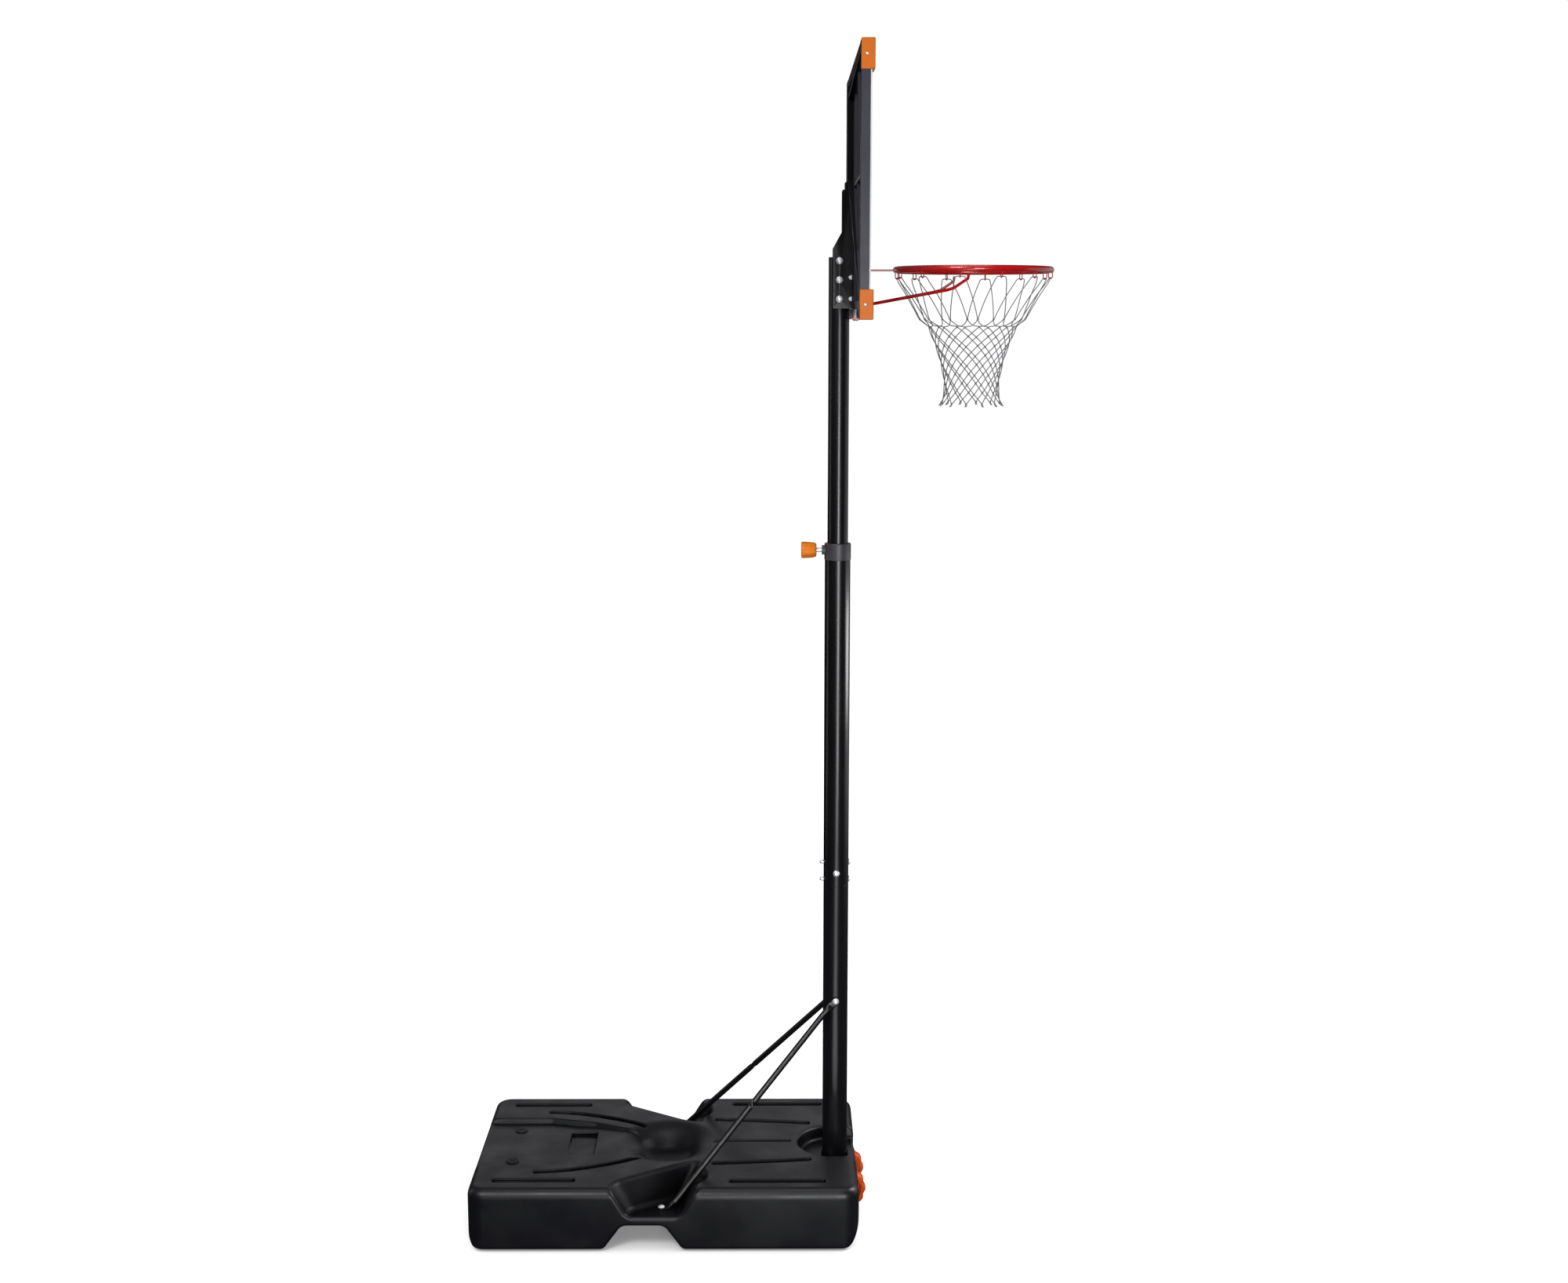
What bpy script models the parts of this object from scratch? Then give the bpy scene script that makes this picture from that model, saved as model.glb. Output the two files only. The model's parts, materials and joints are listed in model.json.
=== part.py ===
"""Portable basketball stand: a hollow ballast base on two wheels, a three-piece
telescoping pole with two struts, and a ribbed backboard with its rim and net.

Metres, +Z up, +X the way the board faces. The row origin is on the floor, below
the middle of the whole stand; the pole axis lies POLE_X in front of it.
"""
import math

import bmesh
import bpy
from mathutils import Matrix, Vector

# Clearances
GAP = 0.0003            # between pieces that touch or are bolted together
SLIDE_CLEARANCE = 0.0005
HOLE_CLEARANCE = 0.0004
WHEEL_CLEARANCE = 0.005

# Ballast base, positions along X are measured from the pole axis
BASE_REAR = -1.168
BASE_FRONT = 0.070
BASE_WIDTH = 0.764
BASE_HEIGHT = 0.204
BASE_WALL = 0.005
PLAN_CORNER = 0.055
TOP_FILLET = 0.022
SIDE_FOOT_FILLET = 0.036
REAR_FOOT_FILLET = 0.045
FRONT_FOOT_RUN = 0.065
FRONT_FOOT_RISE = 0.110

# Tunnel under the base and the two side pockets above it
TUNNEL_CENTRE = -0.613
TUNNEL_TOP_LENGTH = 0.134
TUNNEL_SPLAY = 0.069
TUNNEL_HEIGHT = 0.085
POCKET_REAR = -0.721
POCKET_FRONT = -0.440
POCKET_REAR_INNER = 0.320
POCKET_FRONT_INNER = 0.155
POCKET_FLOOR = 0.114
POCKET_SLOPE_RUN = 0.060
LOBE_CENTRE = (-0.440, 0.255)
LOBE_RADIUS = 0.045
LOBE_DEPTH = 0.055

# Bowl, pole dish, rear platform and deck grooves
BOWL_CENTRE = -0.552
BOWL_RADIUS = 0.137
BOWL_FLOOR_RADIUS = 0.060
BOWL_DEPTH = 0.057
DISH_RADIUS = 0.126
DISH_FLOOR_RADIUS = 0.108
PLATFORM_DEPTH = 0.016
PLATFORM_HALF_WIDTH = 0.187
PLATFORM_FRONT = -0.955
VALLEY_FRONT = -0.690
VALLEY_HALF_WIDTH = 0.105
WINDOW_CENTRE = -0.835
WINDOW_LENGTH = 0.090
WINDOW_WIDTH = 0.200
WINDOW_DEPTH = 0.003
GROOVE_WIDTH = 0.018
GROOVE_DEPTH = 0.005
# Each groove: rear end and front end, as X and distance from the middle plane
SIDE_GROOVES = (
    ((-1.082, 0.303), (-0.842, 0.303)),
    ((-0.332, 0.310), (-0.048, 0.310)),
    ((-0.392, 0.176), (-0.150, 0.150)),
    ((-0.930, 0.236), (-0.700, 0.168)),
)
CENTRE_GROOVE = ((-0.395, 0.0), (-0.160, 0.0))

# Filler plugs
FILLER_X = -1.051
FILLER_Y = 0.123
FILLER_HOLE_RADIUS = 0.0150
PLUG_FLANGE_RADIUS = 0.0210
PLUG_FLANGE_HEIGHT = 0.0050
PLUG_RECESS_RADIUS = 0.0100
PLUG_RECESS_DEPTH = 0.0040
PLUG_STEM_LENGTH = 0.0180

# Wheels and axle
WHEEL_RADIUS = 0.075
WHEEL_WIDTH = 0.040
WHEEL_INNER_FACE = 0.060
WHEEL_LOBES = 12
WHEEL_LOBE_DEPTH = 0.0040
WHEEL_RIM_DEPTH = 0.016
WHEEL_RIM_RADIUS = 0.060
WHEEL_HUB_RADIUS = 0.016
AXLE_X = 0.0245
AXLE_HEIGHT = 0.078
AXLE_RADIUS = 0.005
AXLE_CAP_RADIUS = 0.010
AXLE_CAP_LENGTH = 0.007
WELL_INNER_FACE = 0.052

# Poles
POLE_RADIUS = 0.0405
POLE_WALL = 0.0015
POLE_FOOT = 0.045
LOWER_POLE_LENGTH = 1.040
NECK_LENGTH = 0.125
FLAT_TOP = 0.510
FLAT_BOTTOM = 0.230
FLAT_RATIO = 0.55
MIDDLE_POLE_LENGTH = 1.057
UPPER_POLE_RADIUS = 0.0325
UPPER_POLE_LENGTH = 1.1955
INSERTED_LENGTH = 0.262
POLE_CAP_THICKNESS = 0.0025
POLE_CAP_STEM = 0.003
GUIDE_BUSH_LENGTH = 0.040
ROUND_STEPS = 24

# Collar and clamp screw
COLLAR_HEIGHT = 0.052
COLLAR_RADIUS = 0.042
COLLAR_SPIGOT = 0.050
SCREW_ABOVE_COLLAR_BASE = 0.030
BOSS_RADIUS = 0.015
BOSS_REACH = 0.050
SCREW_RADIUS = 0.0070
KNOB_INNER_END = 0.067
KNOB_LENGTH = 0.048
KNOB_RADIUS = 0.0265
KNOB_HUB_RADIUS = 0.0185
KNOB_BORE_DEPTH = 0.026
KNOB_FLUTES = 8
KNOB_FLUTE_DEPTH = 0.0022

# Fasteners
BOLT_RADIUS = 0.004
BOLT_HEAD_RADIUS = 0.0110
BOLT_HEAD_HEIGHT = 0.0060
BOLT_TIP = 0.0100
NUT_ACROSS_FLATS = 0.013
NUT_HEIGHT = 0.006
SCREW_HEAD_RADIUS = 0.0045
CAP_SCREW_SHANK_RADIUS = 0.0020
CAP_SCREW_LENGTH = 0.018
SEAM_BOLTS_ALONG_X = (0.016, 0.0725)    # heights above the seam
SEAM_BOLT_ALONG_Y = 0.044

# Struts
STRUT_RADIUS = 0.0095
STRUT_POLE_HEIGHT = 0.701
STRUT_FOOT_X = -0.557
STRUT_FOOT_Y = 0.315
EAR_THICKNESS = 0.005
EAR_WIDTH = 0.026
EAR_REACH = 0.014
EAR_LENGTH = 0.040

# Pole bracket
BRACKET_SHEET = 0.0025
FLANGE_FROM_AXIS = 0.0372
BRACKET_BELOW_POLE_TOP = 0.153
BRACKET_SHOULDER = 0.182        # heights above the bracket's lower edge
BRACKET_WAIST = 0.232
BRACKET_HEIGHT = 0.357
BRACKET_REAR = -0.0195
BRACKET_UPPER_REAR = 0.0079
FLANGE_REACH = 0.075
BRACKET_POLE_BOLTS = (0.0284, 0.0864, 0.1444)   # heights above the bracket's lower edge

# Backboard
BOARD_WIDTH = 1.092
BOARD_HEIGHT = 0.762
BOARD_BELOW_POLE_TOP = 0.1825
FRAME_DEPTH = 0.0267
FRAME_WEB = 0.0022
FRAME_BAR = 0.022
FRAME_RIB = 0.010
PANEL_THICKNESS = 0.004
CENTRE_BLOCK_HALF_WIDTH = 0.090
CENTRE_BLOCK_HEIGHT = 0.200
SPINE_FOOT_BACK = 0.016
SPINE_BACK = 0.0215
SPINE_FOOT = 0.217              # heights above the board's lower edge
SPINE_STEP = 0.409
SPINE_TOP = 0.677
CAP_SIZE = 0.085
CAP_WALL = 0.004
CAP_FRONT_WALL = 0.008

# Rim, its bracket and the net
RIM_ROD_RADIUS = 0.010
RIM_INNER_RADIUS = 0.2285
RIM_ABOVE_BOARD_EDGE = 0.157
RIM_FROM_BOARD = 0.0940
RIM_STEPS = 40
RIM_PLATE_THICKNESS = 0.003
RIM_PLATE_HALF_WIDTH = 0.075
RIM_BOLT_HEIGHTS = (0.0585, 0.1230)     # above the board's lower edge
RIM_BOLT_Y = 0.052
HOOK_PLATE_REAR = 0.033
HOOK_BOLT_X = 0.052
HOOK_BOLT_COLLAR_RADIUS = 0.008
RAIL_NOTCH_HEIGHT = 0.027               # the frame's lower rail stands this far above its lower edge
RAIL_NOTCH_MARGIN = 0.006               # between the notch's end and the corner cap
HOOK_BOLT_LENGTH = 0.055
BRACE_RADIUS = 0.00475
BRACE_START_Y = 0.040
BRACE_START_HEIGHT = 0.040
BRACE_BEND = (-0.084, 0.224, -0.061)    # from the rim's centre
BRACE_DROP = (-0.0385, 0.2335, -0.030)
BRACE_TIP = (-0.036, 0.2345, -0.0150)
HOOK_COUNT = 12
HOOK_WIRE_RADIUS = 0.0015
HOOK_BAR_DROP = 0.0265                  # below the rim's middle
HOOK_HALF_WIDTH = 0.006
HOOK_BEND = 0.003
NET_CORD = 0.0032
NET_BELLY = 0.004
NET_KNOT_DROP = 0.149                   # below the rim's middle
NET_KNOT_RADIUS = 0.159
NET_NECK_DROP = 0.178
NET_NECK_RADIUS = 0.1265
NET_WAIST_DROP = 0.322
NET_WAIST_RADIUS = 0.077
NET_FOOT_DROP = 0.419
NET_FOOT_RADIUS = 0.095
NET_ROWS = 8

# Places worked out from the sizes above
HALF_WIDTH = BASE_WIDTH / 2
SEAM = POLE_FOOT + LOWER_POLE_LENGTH
COLLAR_BASE = SEAM + MIDDLE_POLE_LENGTH
UPPER_POLE_BOTTOM = COLLAR_BASE - INSERTED_LENGTH
UPPER_POLE_TOP = UPPER_POLE_BOTTOM + UPPER_POLE_LENGTH
POLE_BORE = POLE_RADIUS - POLE_WALL
SCREW_HEIGHT = COLLAR_BASE + SCREW_ABOVE_COLLAR_BASE
HOLE_RADIUS = BOLT_RADIUS + HOLE_CLEARANCE
WELL_OUTER_FACE = WHEEL_INNER_FACE + WHEEL_WIDTH + AXLE_CAP_LENGTH + 0.015
WELL_REAR = AXLE_X - WHEEL_RADIUS - WHEEL_CLEARANCE
WELL_TOP = AXLE_HEIGHT + WHEEL_RADIUS + WHEEL_CLEARANCE
DISH_FLOOR = WELL_TOP + BASE_WALL
PLATFORM_TOP = BASE_HEIGHT - PLATFORM_DEPTH
SOCKET_HALF_LENGTH = POLE_RADIUS + GAP
SOCKET_HALF_WIDTH = POLE_RADIUS * FLAT_RATIO + GAP
BRACKET_BOTTOM = UPPER_POLE_TOP - BRACKET_BELOW_POLE_TOP
SIDE_PLATE_FACE = UPPER_POLE_RADIUS + GAP
BOARD_BOTTOM = UPPER_POLE_TOP - BOARD_BELOW_POLE_TOP
BOARD_TOP = BOARD_BOTTOM + BOARD_HEIGHT
FRAME_BACK = FLANGE_FROM_AXIS + BRACKET_SHEET + GAP
PANEL_BACK = FRAME_BACK + FRAME_DEPTH + GAP
PANEL_FRONT = PANEL_BACK + PANEL_THICKNESS
RIM_RADIUS = RIM_INNER_RADIUS + RIM_ROD_RADIUS
RIM_TOP = BOARD_BOTTOM + RIM_ABOVE_BOARD_EDGE
RIM_MIDDLE = RIM_TOP - RIM_ROD_RADIUS
RIM_X = PANEL_FRONT + RIM_FROM_BOARD + RIM_ROD_RADIUS + RIM_RADIUS
RIM_REACH = RIM_X + RIM_RADIUS + RIM_ROD_RADIUS
POLE_X = -(BASE_REAR + RIM_REACH) / 2

AXIS_X = Matrix(((0, 0, 1), (1, 0, 0), (0, 1, 0))).to_4x4()      # local X, Y, Z to Y, Z, X
AXIS_Y = Matrix(((1, 0, 0), (0, 0, -1), (0, 1, 0))).to_4x4()     # local X, Y, Z to X, Z, -Y
AXIS_Z = Matrix.Identity(4)
FLIP = Matrix.Rotation(math.pi, 4, "X")


def clear_scene():
    for obj in list(bpy.data.objects):
        bpy.data.objects.remove(obj)


def new_collection(name):
    collection = bpy.data.collections.new(name)
    bpy.context.scene.collection.children.link(collection)
    return collection


clear_scene()
STAND = new_collection("portable_basketball_stand")
TOOLS = new_collection("cutters")
BASE_CUTS = new_collection("base_cutters")
CAVITY_CUTS = new_collection("cavity_cutters")

ORIGIN = bpy.data.objects.new("pole_axis", None)
ORIGIN.location = (POLE_X, 0, 0)
STAND.objects.link(ORIGIN)


def make_material(name, colour, roughness, metallic=0.0):
    material = bpy.data.materials.new(name)
    material.use_nodes = True
    material.diffuse_color = (*colour, 1)
    shader = material.node_tree.nodes["Principled BSDF"]
    shader.inputs["Base Color"].default_value = (*colour, 1)
    shader.inputs["Roughness"].default_value = roughness
    shader.inputs["Metallic"].default_value = metallic
    return material


BASE_PLASTIC = make_material("base_plastic", (0.016, 0.016, 0.020), 0.50)
BLACK_STEEL = make_material("black_steel", (0.010, 0.010, 0.011), 0.25, 0.3)
FRAME_PLASTIC = make_material("frame_plastic", (0.030, 0.030, 0.042), 0.45)
COLLAR_PLASTIC = make_material("collar_plastic", (0.048, 0.048, 0.054), 0.50)
ORANGE_PLASTIC = make_material("orange_plastic", (0.72, 0.19, 0.02), 0.40)
WHEEL_PLASTIC = make_material("wheel_plastic", (0.80, 0.12, 0.02), 0.45)
PANEL_SHEET = make_material("panel_sheet", (0.72, 0.73, 0.75), 0.25)
RIM_PAINT = make_material("rim_paint", (0.56, 0.010, 0.008), 0.30, 0.2)
ZINC = make_material("zinc", (0.78, 0.79, 0.82), 0.30, 1.0)
NET_CORDAGE = make_material("net_cord", (0.20, 0.20, 0.21), 0.80)
BLACK_RUBBER = make_material("black_rubber", (0.012, 0.012, 0.013), 0.70)


def add(name, mesh, material=None, collection=None, matrix=None, location=(0, 0, 0)):
    """Link a mesh as an object placed from the pole axis."""
    if matrix is not None:
        mesh.transform(matrix)
    obj = bpy.data.objects.new(name, mesh)
    obj.parent = ORIGIN
    obj.location = location
    (collection or STAND).objects.link(obj)
    if material:
        mesh.materials.clear()
        mesh.materials.append(material)
        mesh.shade_smooth()
        mesh.set_sharp_from_angle(angle=math.radians(35))
    else:
        obj.hide_render = True
        obj.display_type = "WIRE"
    return obj


def baked_mesh(obj):
    """The object's evaluated mesh, with its loose caps welded; the object is removed."""
    bpy.context.view_layer.update()
    evaluated = obj.evaluated_get(bpy.context.evaluated_depsgraph_get())
    mesh = bpy.data.meshes.new_from_object(evaluated)
    shape = bmesh.new()
    shape.from_mesh(mesh)
    bmesh.ops.remove_doubles(shape, verts=shape.verts, dist=0.00002)
    shape.to_mesh(mesh)
    shape.free()
    data = obj.data
    bpy.data.objects.remove(obj)
    if isinstance(data, bpy.types.Mesh):
        bpy.data.meshes.remove(data)
    else:
        bpy.data.curves.remove(data)
    return mesh


def sheet_mesh(outlines, thickness):
    """A flat outline with its holes, thickened evenly about its own plane."""
    curve = bpy.data.curves.new("outline", "CURVE")
    curve.dimensions = "2D"
    curve.fill_mode = "BOTH"
    curve.extrude = thickness / 2
    for outline in outlines:
        spline = curve.splines.new("POLY")
        spline.points.add(len(outline) - 1)
        for point, (x, y) in zip(spline.points, outline):
            point.co = (x, y, 0, 1)
        spline.use_cyclic_u = True
    obj = bpy.data.objects.new("outline", curve)
    TOOLS.objects.link(obj)
    return baked_mesh(obj)


def box_mesh(low, high):
    mesh = bpy.data.meshes.new("box")
    shape = bmesh.new()
    size = Vector(high) - Vector(low)
    middle = (Vector(high) + Vector(low)) / 2
    bmesh.ops.create_cube(shape, size=1, matrix=Matrix.Translation(middle) @ Matrix.Diagonal((*size, 1)))
    shape.to_mesh(mesh)
    shape.free()
    return mesh


def rod_mesh(radius, length, steps=12, end_radius=None):
    """A cylinder or cone about local Z, centred on its own middle."""
    mesh = bpy.data.meshes.new("rod")
    shape = bmesh.new()
    top = radius if end_radius is None else end_radius
    bmesh.ops.create_cone(shape, cap_ends=True, segments=steps, radius1=radius, radius2=top, depth=length)
    shape.to_mesh(mesh)
    shape.free()
    return mesh


def turned_mesh(profile, steps=ROUND_STEPS, closed=True):
    """A profile of (radius, height) turned about local Z, listed down its outer side."""
    mesh = bpy.data.meshes.new("profile")
    points = [(radius, 0, height) for radius, height in profile]
    edges = [(i, i + 1) for i in range(len(points) - 1)]
    if closed:
        edges.append((len(points) - 1, 0))
    mesh.from_pydata(points, edges, [])
    obj = bpy.data.objects.new("profile", mesh)
    TOOLS.objects.link(obj)
    screw = obj.modifiers.new("turn", "SCREW")
    screw.steps = steps
    screw.render_steps = steps
    screw.use_merge_vertices = True
    screw.merge_threshold = 0.00001
    return baked_mesh(obj)


def tube_mesh(points, radius, resolution=2):
    """A round bar along a polyline, with closed ends."""
    curve = bpy.data.curves.new("tube", "CURVE")
    curve.dimensions = "3D"
    curve.bevel_depth = radius
    curve.bevel_resolution = resolution
    curve.use_fill_caps = True
    spline = curve.splines.new("POLY")
    spline.points.add(len(points) - 1)
    for point, place in zip(spline.points, points):
        point.co = (*place, 1)
    obj = bpy.data.objects.new("tube", curve)
    TOOLS.objects.link(obj)
    return baked_mesh(obj)


def group_mesh(meshes_and_matrices):
    """Several separate solids gathered into one mesh."""
    whole = bpy.data.meshes.new("group")
    shape = bmesh.new()
    for source, matrix in meshes_and_matrices:
        piece = source.copy()
        piece.transform(matrix)
        shape.from_mesh(piece)
        bpy.data.meshes.remove(piece)
    shape.to_mesh(whole)
    shape.free()
    return whole


def combine(obj, tool, operation="DIFFERENCE"):
    """Cut an object with a tool, join it or keep what both share."""
    modifier = obj.modifiers.new(operation.lower(), "BOOLEAN")
    modifier.operation = operation
    modifier.solver = "EXACT"
    if isinstance(tool, bpy.types.Collection):
        modifier.operand_type = "COLLECTION"
        modifier.collection = tool
    else:
        modifier.object = tool


def tool(name, mesh, matrix=None, location=(0, 0, 0), collection=None):
    return add(name, mesh, None, collection or TOOLS, matrix, location)


def place(matrix, location):
    return Matrix.Translation(location) @ matrix


def circle(centre, radius, steps=12, start=0.0):
    return [(centre[0] + radius * math.cos(start + math.tau * i / steps),
             centre[1] + radius * math.sin(start + math.tau * i / steps)) for i in range(steps)]


def rounded_rectangle(low, high, radii, steps=4):
    """A rectangle with a quarter ellipse at each corner.

    radii holds (run, rise) for lower left, lower right, upper right and upper left.
    """
    corners = ((low[0], low[1]), (high[0], low[1]), (high[0], high[1]), (low[0], high[1]))
    inward = ((1, 1), (-1, 1), (-1, -1), (1, -1))
    points = []
    for number, (corner, side, (run, rise)) in enumerate(zip(corners, inward, radii)):
        if run <= 0 or rise <= 0:
            points.append(corner)
            continue
        centre = (corner[0] + side[0] * run, corner[1] + side[1] * rise)
        start = math.pi * (1 + number / 2)
        for i in range(steps + 1):
            angle = start + math.pi / 2 * i / steps
            points.append((centre[0] + run * math.cos(angle), centre[1] + rise * math.sin(angle)))
    return points


def slot_outline(start, end, width, steps=5):
    """An oblong with round ends between two points."""
    angle = math.atan2(end[1] - start[1], end[0] - start[0])
    points = []
    for centre, turn in ((end, angle - math.pi / 2), (start, angle + math.pi / 2)):
        for i in range(steps + 1):
            around = turn + math.pi * i / steps
            reach = width / 2
            points.append((centre[0] + reach * math.cos(around), centre[1] + reach * math.sin(around)))
    return points


def base_block(name, inset, collection):
    """The base's outer form, or its water space when inset by the wall."""
    low_x = BASE_REAR + inset
    high_x = BASE_FRONT - inset
    half = HALF_WIDTH - inset
    top = BASE_HEIGHT - inset
    steps = 4 if inset == 0 else 2
    foot = REAR_FOOT_FILLET - inset
    shoulder = max(TOP_FILLET - inset, 0.004)
    side = rounded_rectangle((low_x, inset), (high_x, top), (
        (foot, foot), (FRONT_FOOT_RUN - inset, FRONT_FOOT_RISE - inset),
        (shoulder, shoulder), (shoulder, shoulder)), steps)
    corner = PLAN_CORNER - inset
    plan = rounded_rectangle((low_x, -half), (high_x, half), ((corner, corner),) * 4, steps)
    edge = SIDE_FOOT_FILLET - inset
    end = rounded_rectangle((-half, inset), (half, top), (
        (edge, edge), (edge, edge), (shoulder, shoulder), (shoulder, shoulder)), steps)
    over = 0.1
    material = BASE_PLASTIC if collection is STAND else None
    block = add(name, sheet_mesh([side], 2 * half + over), material, collection, AXIS_Y)
    plan_tool = tool(name + "_plan", sheet_mesh([plan], 1.0))
    end_mesh = sheet_mesh([end], high_x - low_x + over)
    end_tool = tool(name + "_end", end_mesh, AXIS_X, ((low_x + high_x) / 2, 0, 0))
    combine(block, plan_tool, "INTERSECT")
    combine(block, end_tool, "INTERSECT")
    return block


def hull_mesh(points):
    mesh = bpy.data.meshes.new("hull")
    shape = bmesh.new()
    for point in points:
        shape.verts.new(point)
    bmesh.ops.convex_hull(shape, input=shape.verts)
    shape.to_mesh(mesh)
    shape.free()
    return mesh


def pocket_mesh(side, grow):
    """A side pocket that narrows to its floor, open at the base's side."""
    outer = HALF_WIDTH + 0.02
    run = POCKET_SLOPE_RUN
    points = []
    for height, draw in ((BASE_HEIGHT + 0.01, 0.0), (POCKET_FLOOR - grow, run)):
        rear = POCKET_REAR + draw - grow
        front = POCKET_FRONT - draw + grow
        for x, y in ((rear, outer), (front, outer), (front, POCKET_FRONT_INNER + draw - grow),
                     (front - 0.030, POCKET_FRONT_INNER + draw * 0.9 - grow),
                     (rear, POCKET_REAR_INNER + draw * 0.3 - grow)):
            points.append((x, side * y, height))
    return hull_mesh(points)


def tunnel_mesh(grow):
    half = TUNNEL_TOP_LENGTH / 2 + grow
    splay = half + TUNNEL_SPLAY
    chamfer = 0.012
    top = TUNNEL_HEIGHT + grow
    outline = [(TUNNEL_CENTRE - splay, -0.01), (TUNNEL_CENTRE + splay, -0.01),
               (TUNNEL_CENTRE + half, top - chamfer), (TUNNEL_CENTRE + half - chamfer, top),
               (TUNNEL_CENTRE - half + chamfer, top), (TUNNEL_CENTRE - half, top - chamfer)]
    return sheet_mesh([outline], BASE_WIDTH + 0.1)


def platform_mesh(grow):
    wide = PLATFORM_HALF_WIDTH + grow
    narrow = VALLEY_HALF_WIDTH + grow
    rear = BASE_REAR - 0.05
    outline = [(rear, -wide), (PLATFORM_FRONT, -wide), (VALLEY_FRONT + grow, -narrow),
               (VALLEY_FRONT + grow, narrow), (PLATFORM_FRONT, wide), (rear, wide)]
    depth = PLATFORM_DEPTH + grow
    mesh = sheet_mesh([outline], depth + 0.01)
    mesh.transform(Matrix.Translation((0, 0, BASE_HEIGHT - depth + (depth + 0.01) / 2)))
    return mesh


def bowl_mesh(grow):
    """A truncated cone down to the bowl's floor."""
    depth = BOWL_DEPTH + grow
    over = 0.01
    slope = (BOWL_RADIUS - BOWL_FLOOR_RADIUS) / BOWL_DEPTH
    top = BOWL_RADIUS + grow * 1.4 + slope * over
    mesh = rod_mesh(BOWL_FLOOR_RADIUS + grow, depth + over, ROUND_STEPS, top)
    mesh.transform(Matrix.Translation((BOWL_CENTRE, 0, BASE_HEIGHT - depth + (depth + over) / 2)))
    return mesh


def dish_mesh(grow):
    """The hollow round the pole's foot, which runs straight out to the base's front."""
    points = []
    for radius, height in ((DISH_FLOOR_RADIUS + grow, DISH_FLOOR - grow),
                           (DISH_RADIUS + grow, BASE_HEIGHT + 0.0005),
                           (DISH_RADIUS + grow, BASE_HEIGHT + 0.01)):
        for shift in (0, BASE_FRONT + 0.08):
            points += [(x, y, height) for x, y in circle((shift, 0), radius, ROUND_STEPS)]
    return hull_mesh(points)


def groove_mesh(start, end, side, grow):
    first = (start[0], side * start[1])
    last = (end[0], side * end[1])
    width = GROOVE_WIDTH + 2 * grow
    outline = slot_outline(first, last, width, 5 if grow == 0 else 2)
    depth = GROOVE_DEPTH + grow
    mesh = sheet_mesh([outline], depth + 0.01)
    mesh.transform(Matrix.Translation((0, 0, BASE_HEIGHT - depth + (depth + 0.01) / 2)))
    return mesh


def base_features(grow, collection):
    """Every hollow in the base's skin; grown by the wall, they shape the water space."""
    tag = "" if grow == 0 else "_wall"
    tool("tunnel" + tag, tunnel_mesh(grow), AXIS_Y, collection=collection)
    tool("platform" + tag, platform_mesh(grow), collection=collection)
    tool("bowl" + tag, bowl_mesh(grow), collection=collection)
    tool("dish" + tag, dish_mesh(grow), collection=collection)
    for side, label in ((1, "left"), (-1, "right")):
        tool("pocket_" + label + tag, pocket_mesh(side, grow), collection=collection)
        lobe = rod_mesh(LOBE_RADIUS + grow, 2 * (LOBE_DEPTH + grow), 16)
        where = (LOBE_CENTRE[0], side * LOBE_CENTRE[1], BASE_HEIGHT)
        tool("lobe_" + label + tag, lobe, None, where, collection)
        for number, (start, end) in enumerate(SIDE_GROOVES):
            groove = groove_mesh(start, end, side, grow)
            tool("groove_%s_%d%s" % (label, number, tag), groove, collection=collection)
    tool("groove_centre" + tag, groove_mesh(*CENTRE_GROOVE, 1, grow), collection=collection)


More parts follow.
